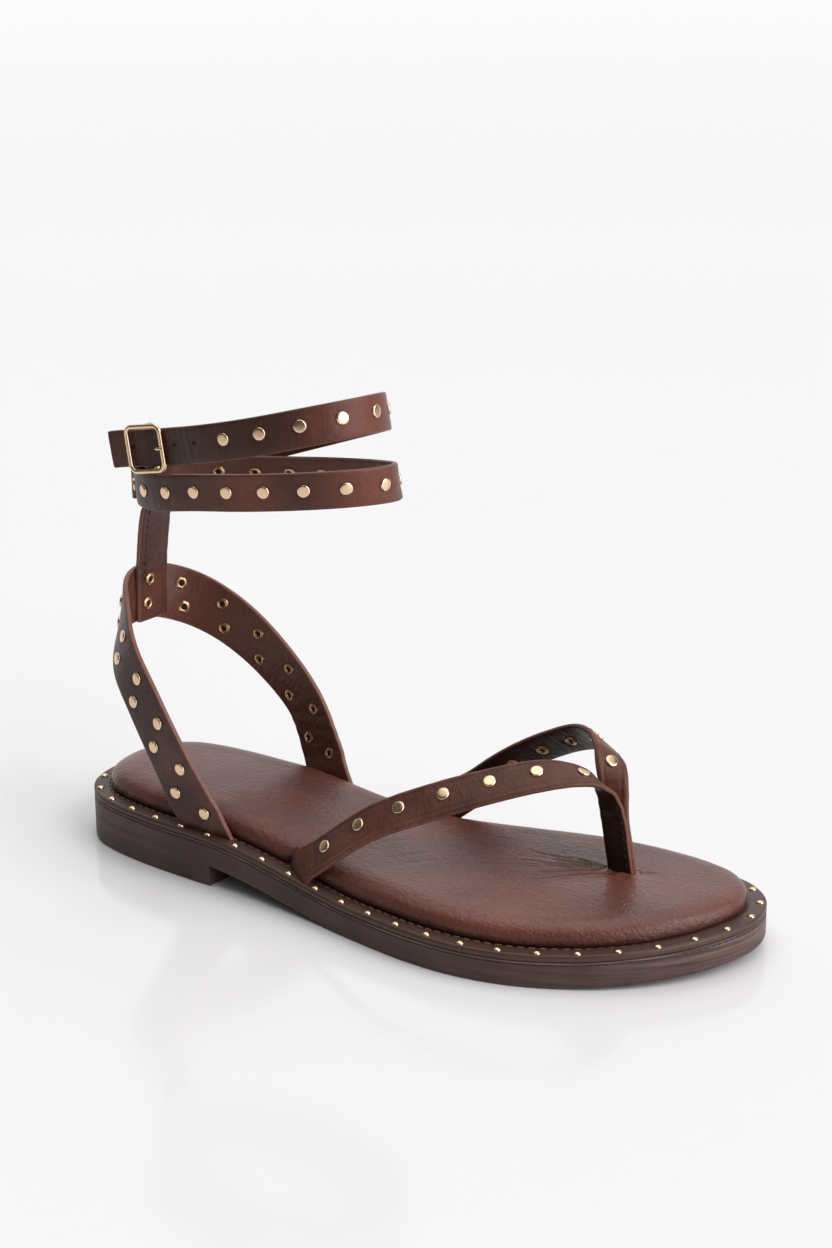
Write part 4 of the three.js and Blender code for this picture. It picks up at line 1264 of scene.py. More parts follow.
@dataclass
class Strap:
    """A leather strap that is cut flat, rounded at its edges and laid along its line."""

    name: str
    line: StrapLine
    face: Side
    material: bpy.types.Material
    replaces: tuple = ()
    marks: tuple = ()
    folds: tuple = ()
    feet: tuple = ()
    cell: float = 1.5 * MM
    cells_across: int = 10
    edge_round: float = 0.55 * MM
    crown: float = 0.22 * MM
    edge_show: float = 1.0
    ridge: float = 0.0
    ridge_in: float = 1.2 * MM
    # Places mixed toward the rubbed colour: rubbing, and painted highlight where a curve meets the
    # light.
    rubs_and_highlights: tuple = ()
    slot: Slot = Slot.STRAP

    def cut_flat(self) -> bpy.types.Object:
        """The flat blank: a sheet that is given its thickness and rounded edges."""
        length = self.line.length
        width = float(self.line.spread.at(np.linspace(0, 1, 50))[:, 0].max() * MM)
        cells = max(8, int(length / self.cell))
        Bench.deselect()
        bpy.ops.mesh.primitive_grid_add(
            x_subdivisions=cells, y_subdivisions=self.cells_across, size=1
        )
        obj = Bench.named(self.name)
        Bench.edit(obj)
        bpy.ops.transform.resize(value=(length, width, 1))
        thickness = SOLE.strap_thickness
        bpy.ops.mesh.extrude_region_move(TRANSFORM_OT_translate={"value": (0, 0, thickness)})
        bpy.ops.mesh.select_all(action="SELECT")
        bpy.ops.mesh.normals_make_consistent(inside=False)
        bpy.ops.mesh.select_all(action="DESELECT")
        bpy.ops.mesh.select_mode(type="EDGE")
        bpy.ops.mesh.edges_select_sharp(sharpness=math.radians(60))
        bpy.ops.mesh.bevel(offset=self.edge_round, segments=3, affect="EDGES")
        Bench.done()
        co = Bench.read(obj)
        co[:, 2] -= thickness / 2
        co[:, 1] /= width
        co[:, 0] += length / 2
        Bench.write(obj, co)
        return obj

    def lay(self, obj: bpy.types.Object) -> None:
        """Lays the blank along its line, with its crown, folds and the dents of its marks."""
        co = Bench.read(obj)
        along, share, deep = co[:, 0], co[:, 1], co[:, 2]
        s = self.line.at(along)
        across = share * s.width
        half = SOLE.strap_thickness / 2
        outer = deep * self.face.value
        fall = self.crown * np.abs(share * 2) ** 4
        level = deep - np.sign(deep) * fall * smooth(np.abs(deep), 0.2 * half, 0.9 * half)
        dent = np.zeros(len(co))
        for mark in self.marks:
            far = ((along - mark.along) ** 2 + (across - mark.across) ** 2) / (2.9 * MM) ** 2
            dent += 0.32 * MM * np.exp(-far)
        fold = np.zeros(len(co))
        for f in self.folds:
            off = along / MM - f.along - f.lean * across / MM
            reach = smooth(across / MM, f.low - 2, f.low + 2) * (
                1 - smooth(across / MM, f.high - 2, f.high + 2)
            )
            shape = np.exp(-((off / f.width) ** 2))
            lip = 0.4 * np.exp(-((np.abs(off) / f.width - 1.8) ** 2) / 0.5)
            fold += FOLD_GAIN * f.depth * MM * (shape - lip) * reach
        from_edge = s.width / 2 - np.abs(across)
        rib = np.exp(-(((from_edge - self.ridge_in) / (0.45 * MM)) ** 2))
        rib -= 0.7 * np.exp(-(((from_edge - self.ridge_in - 1.0 * MM) / (0.45 * MM)) ** 2))
        level = level + self.face.value * self.ridge * rib * (outer > 0)
        level = level - np.sign(outer) * self.face.value * dent
        level = level - self.face.value * fold
        Bench.write(obj, s.point(across, level))
        wall = smooth(np.abs(share * 2), 0.93, 0.985)
        wall = np.maximum(wall, 1 - smooth(np.abs(deep), 0.55 * half, 0.8 * half))
        lining = smooth(-outer, 0.2 * half, 0.7 * half)
        # Painted highlight and rubbing: each listed place is mixed toward the rubbed colour.
        rubbed = np.zeros(len(co))
        for middle, wide, much in self.rubs_and_highlights:
            rubbed += much * np.exp(-(((along - middle * MM) / (wide * MM)) ** 2))
        zone = np.stack([wall * self.edge_show, lining * (1 - wall), rubbed], 1)
        Bench.attribute(obj, "zone", zone)
        Bench.attribute(obj, "lay", np.stack([along, across, level], 1))

    def trim_feet(self, obj: bpy.types.Object) -> None:
        """Cuts the strap off under the welt where it goes into the sole."""
        for along in self.feet:
            x = float(self.line.at(np.array([along])).place[0, 0])
            level = float(SOLE.welt_top(np.array([x]))[0]) - 2.6 * MM
            slope = float(np.diff(SOLE.welt_top(np.array([x - MM, x + MM])))[0] / (2 * MM))
            Bench.edit(obj)
            bpy.ops.mesh.bisect(
                plane_co=(x, 0, level), plane_no=(-slope, 0, 1), use_fill=True, clear_inner=True
            )
            Bench.done()

    def build(self) -> bpy.types.Object:
        """Makes the strap."""
        obj = self.cut_flat()
        self.lay(obj)
        Bench.subdivide(obj)
        self.trim_feet(obj)
        return Bench.dress(obj, self.material, self.slot, self.replaces, sharp=60)


# Tables of the strap lines. A row is: along the sole, across in ball widths, up in the strap's
# rise, the direction across it, and its width's share. A foot row has its side and how deep it
# goes in place of across and up.

THONG_OUTER = [
    (0.43, "outer", 6, (-0.66, 0.4, 0.5), 1),
    (0.448, -0.381, 0.08, (-0.64, 0.49, 0.54), 1),
    (0.471, -0.36, 0.21, (-0.62, 0.6, 0.51), 1),
    (0.541, -0.317, 0.56, (-0.52, 0.61, 0.6), 1),
    (0.61, -0.243, 0.755, (-0.55, 0.57, 0.62), 1),
    (0.672, -0.144, 0.89, (-0.59, 0.6, 0.54), 1),
    (0.7256, -0.037, 0.97, (-0.62, 0.65, 0.45), 1),
    (0.753, 0.032, 0.965, (-0.62, 0.72, 0.3), 0.92),
    (0.774, 0.09, 0.905, (-0.75, 0.62, 0.1), 0.8),
    (0.787, 0.121, 0.78, (-0.95, 0.3, -0.1), 0.71),
]

THONG_INNER = [
    (0.44, "inner", 6, (-0.7, -0.1, 0.7), 1),
    (0.474, "inner", -1.6, (-0.6, -0.2, 0.75), 1),
    (0.506, 0.33, 0.25, (-0.55, -0.32, 0.75), 1),
    (0.5357, 0.348, 0.385, (-0.52, -0.47, 0.7), 1),
    (0.5705, 0.36, 0.565, (-0.46, -0.61, 0.65), 1),
    (0.602, 0.366, 0.705, (-0.41, -0.66, 0.63), 1),
    (0.661, 0.356, 0.9, (-0.43, -0.63, 0.64), 1),
    (0.709, 0.322, 1.02, (-0.44, -0.55, 0.71), 0.98),
    (0.738, 0.28, 1.05, (-0.42, -0.56, 0.72), 0.92),
    (0.76, 0.235, 1.02, (-0.5, -0.6, 0.6), 0.86),
    (0.778, 0.19, 0.92, (-0.75, -0.5, 0.2), 0.76),
    (0.789, 0.163, 0.77, (-0.95, -0.25, -0.1), 0.7),
]

HEEL_STRAP = [
    (0.296, "outer", 6, (0.86, 0, 0.5), 1),
    (0.266, -0.352, 0.063, (0.86, -0.05, 0.42), 1),
    (0.2535, -0.358, 0.14, (0.86, -0.07, 0.5), 1),
    (0.2275, -0.374, 0.327, (0.83, -0.15, 0.55), 1),
    (0.174, -0.354, 0.602, (0.76, -0.18, 0.64), 1),
    (0.128, -0.309, 0.788, (0.65, -0.19, 0.74), 1),
    (0.093, -0.216, 0.918, (0.45, -0.18, 0.87), 1),
    (0.069, -0.122, 0.98, (0.15, -0.1, 0.97), 1),
    (0.0628, -0.01, 1, (-0.08, 0, 0.97), 1),
    (0.0678, 0.09, 0.97, (-0.08, 0.12, 0.95), 1),
    (0.093, 0.187, 0.9, (0.23, 0.15, 0.9), 1),
    (0.136, 0.252, 0.79, (0.57, 0.09, 0.82), 1),
    (0.19, 0.289, 0.625, (0.68, -0.06, 0.73), 1),
    (0.25, 0.3, 0.395, (0.77, -0.16, 0.62), 1),
    (0.285, 0.283, 0.16, (0.88, -0.1, 0.45), 1),
    (0.302, "inner", -2.6, (0.9, -0.08, 0.4), 1),
    (0.327, "inner", 6, (0.92, 0, 0.38), 1),
]

# Forward of the heel strap in strap thicknesses, up in shares of the way to the ankle strap,
# and its width's share.
TAB = [
    (0.86, -0.24, 1),
    (0.95, 0.04, 1),
    (1.6, 0.41, 1),
    (2.5, 0.7, 1),
    (3.1, 0.8, 0.9),
    (4.25, 0.93, 0.54),
    (4.3, 1.2, 0.54),
    (3.7, 1.32, 0.54),
    (1.9, 1.38, 0.54),
    (0.05, 1.32, 0.54),
    (-0.32, 1.2, 0.54),
    (-0.35, 0.95, 0.54),
    (-0.32, 0.82, 0.54),
]

# Ahead in loop lengths, across in loop widths, up in loop drops, and the edge's x and y.
ANKLE_STRAP = [
    (-0.455, -0.333, 0.57, -0.06, 0),
    (-0.4, -0.337, 0.615, -0.12, 0),
    (-0.372, -0.34, 0.633, -0.16, 0),
    (-0.288, -0.347, 0.687, -0.19, 0),
    (-0.208, -0.354, 0.745, -0.22, 0),
    (0, -0.42, 0.925, -0.22, 0),
    (0.192, -0.4, 1.105, -0.21, 0),
    (0.36, -0.266, 1.275, -0.2, 0),
    (0.455, -0.068, 1.36, -0.14, 0),
    (0.47, 0.163, 1.355, -0.13, 0),
    (0.414, 0.384, 1.26, -0.2, 0),
    (0.278, 0.566, 1.055, -0.27, 0),
    (0.103, 0.648, 0.81, -0.3, 0),
    (-0.087, 0.632, 0.55, -0.3, 0),
    (-0.282, 0.489, 0.29, -0.25, 0),
    (-0.42, 0.25, 0.09, -0.15, 0),
    (-0.4725, 0, -0.02, -0.1, 0),
    (-0.4186, -0.184, -0.02, -0.12, 0),
    (-0.288, -0.325, 0.022, -0.15, -0.1),
    (-0.067, -0.393, 0.175, -0.12, -0.1),
    (0.143, -0.366, 0.275, -0.08, -0.1),
    (0.341, -0.246, 0.354, 0, -0.1),
    (0.467, -0.064, 0.385, 0.08, -0.05),
    (0.512, 0.146, 0.37, 0.06, -0.05),
    (0.475, 0.336, 0.315, -0.05, -0.2),
    (0.344, 0.477, 0.235, -0.08, -0.35),
    (0.164, 0.527, 0.155, -0.05, -0.4),
    (-0.041, 0.507, 0.075, 0, -0.4),
    (-0.256, 0.404, 0.02, 0.05, -0.3),
    (-0.4, 0.22, 0.03, 0, -0.1),
    (-0.4445, 0, 0.08, -0.05, 0),
    (-0.396, -0.136, 0.25, -0.2, 0),
    (-0.352, -0.218, 0.5, -0.2, 0),
    (-0.283, -0.247, 0.68, -0.2, 0),
]


@dataclass(frozen=True)
class StrapPlan:
    """The named sizes of the straps, and their middle lines."""

    thong_width: float = 13.7 * MM
    thong_rise: float = 43.5 * MM
    post_width: float = 9.2 * MM
    post_top: tuple = (0.795, 0.14, 0.6)
    post_foot: tuple = (0.811, 0.144)
    post_lean: float = 0.12
    heel_width: float = 20 * MM
    heel_rise: float = 69.6 * MM
    tab_width: float = 15.6 * MM
    tab_across: float = 0.6 * MM
    ankle_width: float = 13 * MM
    ankle_length: float = 102 * MM
    ankle_loop_width: float = 56 * MM
    ankle_rise: float = 111.7 * MM
    ankle_drop: float = 24 * MM
    ankle_centre: float = 0.2575
    ankle_base: float = 0.1

    def point(self, row: tuple, rise: float) -> np.ndarray:
        """One place on a strap's middle, from a row of its table."""
        x = SOLE.x_at(row[0])
        welt = float(SOLE.welt_top(np.array([x]))[0])
        if isinstance(row[1], str):
            inset = SOLE.footbed_inset - SOLE.fit_gap - SOLE.strap_thickness / 2
            y = SOLE.side_y(inset, x, row[1] == "outer")
            return np.array([x, y, welt - row[2] * (SOLE.welt_thickness - SOLE.fit_gap)])
        return np.array([x, row[1] * SOLE.ball_width, welt + row[2] * rise])

    def from_rows(self, rows: list, rise: float, width: float) -> StrapLine:
        """A strap's line from its table."""
        points = self.shifted([self.point(row, rise) for row in rows])
        return StrapLine(points, directions(rows), [width * row[4] for row in rows])

    def shifted(self, points: list) -> list:
        """Moves points to the frame's middle."""
        return [p + np.array([0, SOLE.middle_y, 0]) for p in points]

    def thong(self, rows: list, layer: int) -> StrapLine:
        """One half of the thong, turned down into its layer of the toe post."""
        points = [self.point(row, self.thong_rise) for row in rows]
        top = self.point(self.post_top, self.thong_rise)
        x = SOLE.x_at(self.post_foot[0])
        z = float(SOLE.welt_top(np.array([x]))[0]) + SOLE.fit_gap
        foot = np.array([x, self.post_foot[1] * SOLE.ball_width, z + self.post_width * self.post_lean])
        shift = np.array([0, layer * SOLE.strap_thickness * 0.98 / 2, 0])
        points += [top + shift, (top + foot) / 2 + shift, foot + shift]
        down = (-1, 0, -self.post_lean)
        edges = directions(rows) + [np.array(down)] * 3
        widths = [self.thong_width * row[4] for row in rows] + [self.post_width] * 3
        return StrapLine(self.shifted(points), edges, widths)

    def heel(self) -> StrapLine:
        """The heel strap's line."""
        return self.from_rows(HEEL_STRAP, self.heel_rise, self.heel_width)

    def tab(self, heel: StrapLine) -> StrapLine:
        """The tab and sleeve line, on the middle of the heel strap's inner face."""
        seat = heel.at(np.array([heel.length / 2])).place[0]
        way = self.ankle_rise + float(SOLE.welt_top(seat[:1])[0]) - seat[2]
        y = self.tab_across + SOLE.middle_y
        points = [
            (seat[0] + forward * SOLE.strap_thickness, y, seat[2] + up * way)
            for forward, up, _ in TAB
        ]
        widths = [self.tab_width * wide for _, _, wide in TAB]
        return StrapLine(points, [(0, 1, 0)] * len(TAB), widths)

    def ankle(self) -> StrapLine:
        """The ankle strap's line, twice about the ankle."""
        x = SOLE.x_at(self.ankle_centre)
        base = float(SOLE.welt_top(np.array([SOLE.x_at(self.ankle_base)]))[0]) + self.ankle_rise
        points = self.shifted([
            np.array([
                x + ahead * self.ankle_length, across * self.ankle_loop_width,
                base + up * self.ankle_drop,
            ])
            for ahead, across, up, _, _ in ANKLE_STRAP
        ])
        edges = [unit(np.array([[ex, ey, 1.0]]))[0] for *_, ex, ey in ANKLE_STRAP]
        return StrapLine(points, edges, [self.ankle_width] * len(ANKLE_STRAP))


def directions(rows: list) -> list:
    """The unit directions across a strap, from its table."""
    return [unit(np.array([row[3]], float))[0] for row in rows]


# Studs and rivets


@dataclass
class Rivets:
    """The flat-topped stud caps and the split eyelets on their backs."""

    finishes: Finishes
    radius: float = 2.25 * MM
    height: float = 0.75 * MM
    eyelet_radius: float = 2.25 * MM
    eyelet_hole: float = 0.85 * MM

    def cap(self) -> bpy.types.Object:
        """One stud cap at the origin: a low disc with a rolled rim and a domed top."""
        Bench.deselect()
        bpy.ops.mesh.primitive_circle_add(vertices=28, radius=self.radius, fill_type="NGON")
        obj = Bench.named("stud_cap")
        Bench.edit(obj)
        bpy.ops.mesh.extrude_region_move(TRANSFORM_OT_translate={"value": (0, 0, 0.3 * MM)})
        for thickness, depth in ((0.1, 0.16), (0.16, 0.14), (0.3, 0.06), (0.7, 0.03), (0.5, 0.01)):
            bpy.ops.mesh.inset(thickness=thickness * MM, depth=depth * MM)
        bpy.ops.mesh.select_all(action="SELECT")
        bpy.ops.mesh.normals_make_consistent(inside=False)
        Bench.done()
        return obj

    def eyelet(self) -> bpy.types.Object:
        """One eyelet back at the origin: a rolled collar, split in petals, round a hole painted dark
        for its shade.
        """
        Bench.deselect()
        bpy.ops.mesh.primitive_circle_add(
            vertices=24, radius=self.eyelet_radius, fill_type="NGON"
        )
        obj = Bench.named("eyelet_back")
        obj.data.materials.append(self.finishes.eyelet)
        obj.data.materials.append(self.finishes.hole)
        Bench.edit(obj)
        bpy.ops.mesh.extrude_region_move(TRANSFORM_OT_translate={"value": (0, 0, 0.16 * MM)})
        for thickness, depth in ((0.3, 0.26), (0.42, 0.1), (0.4, -0.16)):
            bpy.ops.mesh.inset(thickness=thickness * MM, depth=depth * MM)
        bpy.ops.mesh.inset(thickness=0.12 * MM, depth=-0.3 * MM)
        # Painted shade: the hole's inner faces take the near-black hole finish.
        obj.active_material_index = 1
        bpy.ops.object.material_slot_assign()
        bpy.ops.mesh.select_all(action="SELECT")
        bpy.ops.mesh.normals_make_consistent(inside=False)
        Bench.done()
        co = Bench.read(obj)
        r = np.hypot(co[:, 0], co[:, 1])
        turn = np.arctan2(co[:, 1], co[:, 0])
        petal = 1 - 0.07 * (np.cos(turn * 6) < -0.6) * (r > self.eyelet_hole * 1.6)
        co[:, :2] *= petal[:, None]
        Bench.write(obj, co)
        return obj

    def on(
        self,
        model: bpy.types.Object,
        name: str,
        line: StrapLine,
        mark: Mark,
        side: Side,
        replaces: Iterable[str] = (),
        sunk: float = 0.12 * MM,
    ) -> bpy.types.Object:
        """Stands a copy of a rivet part on a strap.

        Args:
            model: The cap or the eyelet.
            name: The copy's name.
            line: The strap's line.
            mark: Its place on the strap.
            side: The face it stands on.
            replaces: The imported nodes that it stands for.
            sunk: How far it is pressed in.

        Returns:
            The copy.
        """
        s = line.at(np.array([mark.along]))
        lift = side.value * (SOLE.strap_thickness / 2 - sunk)
        place = s.point(np.array([mark.across]), np.array([lift]))[0]
        piece = Bench.copy(model, name)
        Bench.stand(piece, place, s.out[0] * side.value, s.along[0])
        return Bench.dress(piece, self.finishes.gold, Slot.GOLD, replaces, sharp=35)


@dataclass
class StudRow:
    """A row of rivets on a strap."""

    name: str
    line: StrapLine
    across: float
    start: float
    pitch: float
    before: int
    after: int
    face: Side
    nodes: bool = True
    bare_back: int = 0

    def marks(self) -> list:
        """The marks of the row."""
        walked = self.line.row(self.across, self.start, self.pitch, self.before, self.after)
        return [Mark(float(s), self.across) for s in walked]

    def build(self, rivets: Rivets, cap: bpy.types.Object, eyelet: bpy.types.Object) -> None:
        """Makes the caps on the face and the eyelets on the back."""
        back = Side(-self.face.value)
        for i, mark in enumerate(self.marks(), start=1):
            replaced = [f"{self.name}_{i}"] if self.nodes else []
            rivets.on(cap, f"{self.name}_{i}_cap", self.line, mark, self.face, replaced)
            if i != self.bare_back:
                rivets.on(eyelet, f"{self.name}_{i}_back", self.line, mark, back)


# Buckle


@dataclass
class Buckle:
    """The wire buckle on the ankle strap, with its middle bar and prong."""

    finishes: Finishes
    line: StrapLine
    length: float = 17.3 * MM
    height: float = 17.2 * MM
    wire: float = 1.7 * MM
    play: float = 0.45 * MM
    corner: float = 2.6 * MM
    prong: float = 1.2 * MM
    at: float = 0.036
    prong_out: float = 4.2 * MM

    def over(self) -> float:
        """How far the wire's middle lies from the strap's middle."""
        return SOLE.strap_thickness / 2 + self.play + self.wire / 2

    def frame(self) -> Matrix:
        """The buckle's own frame: x along the strap, y across it, z out from the ankle."""
        s = self.line.at(np.array([self.at * self.line.length]))
        turn = Matrix(np.column_stack([s.along[0], s.across[0], s.out[0]]).tolist()).to_4x4()
        return Matrix.Translation(Vector(s.place[0])) @ turn

    def tube(
        self, name: str, path: np.ndarray, radii: np.ndarray, closed: bool, side: tuple = (0, 0, 1)
    ) -> bpy.types.Object:
        """A wire of round section along a path in the buckle's frame.

        Args:
            name: The object's name.
            path: Places along the wire.
            radii: Its radius at each place.
            closed: Whether it runs in a ring.
            side: A direction that the wire never runs in.

        Returns:
            The wire, moved to its place.
        """
        ahead = np.roll(path, -1, 0) - np.roll(path, 1, 0)
        if not closed:
            ahead[0], ahead[-1] = path[1] - path[0], path[-1] - path[-2]
        ahead = unit(ahead)
        aside = unit(np.cross(ahead, np.tile(np.array(side, float), (len(path), 1))))
        up = np.cross(aside, ahead)
        turns = np.linspace(0, 2 * np.pi, 16, endpoint=False)
        rings = np.array([
            p + r * (np.cos(turns)[:, None] * a + np.sin(turns)[:, None] * u)
            for p, r, a, u in zip(path, radii, aside, up)
        ])
        if not closed:
            first = np.tile(path[0], (16, 1))
            last = np.tile(path[-1], (16, 1))
            rings = np.concatenate([first[None], rings, last[None]])
        obj = Bench.loft(name, rings, closed=closed)
        obj.data.transform(self.frame())
        return obj

    def ring(self) -> bpy.types.Object:
        """The frame with its middle bar."""
        half_x = (self.length - self.wire) / 2
        half_y = (self.height - self.wire) / 2
        corner = self.corner
        path = []
        for cx, cy, start in (
            (half_x - corner, half_y - corner, 0), (corner - half_x, half_y - corner, 90),
            (corner - half_x, corner - half_y, 180), (half_x - corner, corner - half_y, 270),
        ):
            for turn in np.radians(np.linspace(start, start + 90, 12)):
                path.append((cx + corner * math.cos(turn), cy + corner * math.sin(turn)))
        corners = np.array(path)
        dense = []
        for i, p in enumerate(corners):
            q = corners[(i + 1) % len(corners)]
            steps = max(1, int(np.linalg.norm(q - p) / (0.8 * MM)))
            dense += [p + (q - p) * k / steps for k in range(steps)]
        over = self.over()
        flat = np.array(dense)
        level = np.full(len(flat), over)
        radii = np.full(len(flat), self.wire / 2)
        wire = self.tube("buckle_ring", np.column_stack([flat, level]), radii, True)
        half = [
            (0, half_y, over), (0, half_y, 0), (0, half_y, self.wire / 2 - over),
            (0, half_y - 0.15 * self.wire, -0.9 * over), (0, half_y - self.wire / 2, -over),
            (0, half_y / 2, -over),
        ]
        knots = half + [(0, -y, z) for _, y, z in reversed(half)]
        way = SmoothPath(np.array(knots) / MM).at(np.linspace(0, 1, 60)) * MM
        bar = self.tube("buckle_bar", way, np.full(60, 0.45 * self.wire), False, (1, 0, 0))
        joined = Bench.join([wire, bar], "buckle_wire")
        return Bench.dress(joined, self.finishes.gold, Slot.GOLD, ["buckle_frame"], sharp=50)

    def prong_piece(self) -> bpy.types.Object:
        """The prong: from the middle bar through the strap, and over the front bar."""
        radius = self.prong / 2
        over = self.over()
        clear = self.wire / 2 + radius
        reach = (self.length - self.wire) / 2
        knots = [
            (clear, 0, -over), (self.prong_out - 1.3 * MM, 0, -over * 0.85),
            (self.prong_out - 0.2 * MM, 0, 0), (self.prong_out + 0.9 * MM, 0, over * 0.8),
            (reach * 0.82, 0, over + clear * 0.8), (reach + 1.2 * MM, 0, over + clear),
        ]
        path = SmoothPath(np.array(knots) / MM).at(np.linspace(0, 1, 40)) * MM
        radii = radius * np.interp(np.linspace(0, 1, 40), [0, 0.6, 0.93, 1], [1, 1.05, 0.95, 0.5])
        obj = self.tube("buckle_tongue", path, radii, False, (0, 1, 0))
        return Bench.dress(obj, self.finishes.gold, Slot.GOLD, ["buckle_prong"], sharp=50)

    def build(self) -> None:
        """Makes the buckle."""
        self.ring()
        self.prong_piece()


# The upper


@dataclass
class Upper:
    """All straps with their rivets, seams, holes and buckle."""

    finishes: Finishes
    plan: StrapPlan
    stud_row_half: float = 4 * MM
    hole_marks: tuple = (11.7, 32.8, 43.4)
    hole_radius: float = 0.75 * MM
    tab_marks: tuple = (Mark(15.3 * MM, -1.75 * MM), Mark(6.45 * MM, -3.0 * MM))

    def __post_init__(self) -> None:
        """Draws the middle lines that all pieces of the upper follow."""
        self.thong_outer = self.plan.thong(THONG_OUTER, -1)
        self.thong_inner = self.plan.thong(THONG_INNER, 1)
        self.heel = self.plan.heel()
        self.tab = self.plan.tab(self.heel)
        self.ankle = self.plan.ankle()

    def pressing(self) -> list:
        """The straps that press on the footbed, with the side that faces it."""
        return [
            (self.heel, Side.PLUS), (self.thong_outer, Side.MINUS), (self.thong_inner, Side.PLUS),
        ]

    def rows(self) -> list:
        """Every row of studs."""
        half = self.stud_row_half
        upper_middle = 0.4898 * self.heel.length
        lower_middle = 0.4933 * self.heel.length
        return [
            StudRow("thong_stud_outer", self.thong_outer, 1.2 * MM, 25 * MM, 15.6 * MM, 0, 6,
                    Side.PLUS),
            StudRow("thong_stud_inner", self.thong_inner, 0, 24 * MM, 14.6 * MM, 0, 6,
                    Side.MINUS),
            StudRow("heel_stud_upper", self.heel, half, upper_middle, 17.5 * MM, 6, 6,
                    Side.MINUS, bare_back=7),
            StudRow("heel_stud_lower", self.heel, -half, lower_middle, 17.5 * MM, 5, 5,
                    Side.MINUS, bare_back=6),
            StudRow("ankle_stud_upper", self.ankle, 0.8 * MM, 57 * MM, 13.9 * MM, 0, 11,
                    Side.PLUS, nodes=False),
            StudRow("ankle_stud_lower", self.ankle, 0.4 * MM, 268.9 * MM, 13.92 * MM, 1, 14,
                    Side.PLUS, nodes=False),
        ]

    def straps(self, rows: list) -> None:
        """Makes the straps.

        Args:
            rows: The stud rows, whose marks dent the leather.
        """
        marks = {row.name: tuple(row.marks()) for row in rows}
        strap, thong = self.finishes.strap, self.finishes.thong
        Strap(
            "thong_strap_outer", self.thong_outer, Side.PLUS, thong, ("thong_straps",),
            marks=marks["thong_stud_outer"], feet=(4 * MM,), cell=1.3 * MM, crown=0.4 * MM,
            edge_round=0.7 * MM, edge_show=0.35, cells_across=22, ridge=0.24 * MM,
            folds=(
                Fold(16, 1.6, 0.22, 0.3), Fold(20, 1.3, 0.16, 0.2), Fold(50, 1.6, 0.07, 0.5),
                Fold(66, 1.4, 0.08, 0.5), Fold(81, 1.6, 0.06, 0.6), Fold(112, 1.5, 0.08, 0.3),
                Fold(127, 1.6, 0.14, 0.2), Fold(132, 1.4, 0.16, 0.1), Fold(136.5, 1.3, 0.12, 0),
            ),
        ).build()
        Strap(
            "thong_strap_inner", self.thong_inner, Side.MINUS, thong,
            marks=marks["thong_stud_inner"], feet=(4 * MM,), cell=1.3 * MM, crown=0.4 * MM,
            edge_round=0.7 * MM, edge_show=0.35, cells_across=22, ridge=0.24 * MM,
            folds=(
                Fold(14, 1.6, 0.2, 0.3), Fold(60, 1.5, 0.06, 0.4), Fold(96, 1.3, 0.12, 0.2),
                Fold(100, 1.2, 0.14, 0.2), Fold(104, 1.3, 0.12, 0.1), Fold(116, 1.2, 0.14, 0.2),
                Fold(119.5, 1.1, 0.14, 0.1), Fold(123, 1.2, 0.12, 0),
            ),
        ).build()
        Strap(
            "heel_band", self.heel, Side.MINUS, strap, ("heel_strap",),
            marks=marks["heel_stud_upper"] + marks["heel_stud_lower"],
            feet=(4 * MM, self.heel.length - 4 * MM), cells_across=14,
            folds=(
                Fold(15, 2, 0.15, 0.2), Fold(133, 1.0, 0.16, 0.1), Fold(136, 0.9, 0.14, 0.1),
                Fold(139.5, 1.0, 0.12, 0.1), Fold(110, 1.1, 0.12, -0.1),
                Fold(107, 1.0, 0.1, -0.1), Fold(206, 1.5, 0.1, 0.4), Fold(211, 1.4, 0.1, 0.4),
                Fold(216, 1.5, 0.1, 0.3),
            ),
        ).build()
        Strap(
            "heel_tab", self.tab, Side.MINUS, strap, cells_across=14, cell=1.2 * MM,
            marks=self.tab_marks, ridge=0.16 * MM,
            folds=(Fold(22, 1.4, 0.1, 0.2), Fold(40, 1.2, 0.1, -0.3), Fold(52, 1.4, 0.12, 0.2)),
        ).build()
        Strap(
            "ankle_band", self.ankle, Side.PLUS, strap, ("ankle_strap",),
            marks=marks["ankle_stud_upper"] + marks["ankle_stud_lower"], edge_show=0.45,
            # Painted highlight: the rubs at 110 and 362 mm light the strap's front curves; the smaller
            # ones lighten it at 318, 228 and 6 mm.
            rubs_and_highlights=((110, 16, 0.9), (362, 17, 0.9), (318, 10, 0.35), (228, 14, 0.5), (6, 6, 0.3)),
            folds=(
                Fold(29, 0.8, 0.12, 0.05), Fold(31.5, 0.7, 0.14, 0), Fold(34.5, 0.7, 0.12, 0.05),
                Fold(37, 0.8, 0.14, 0), Fold(39.6, 0.7, 0.1, 0.04), Fold(42, 0.8, 0.12, 0),
                Fold(45, 0.8, 0.08, 0), Fold(12.5, 0.9, 0.1, 0), Fold(15.5, 0.8, 0.1, 0),
                Fold(212, 0.9, 0.14, 0.1), Fold(215.5, 0.8, 0.16, 0), Fold(219, 0.9, 0.14, 0.1),
                Fold(223, 0.8, 0.14, 0), Fold(227, 0.9, 0.14, 0.05), Fold(231, 0.8, 0.14, 0),
                Fold(252, 1.2, 0.1, 0.1), Fold(492, 1.2, 0.12, 0), Fold(498, 1.1, 0.12, 0),
            ),
        ).build()

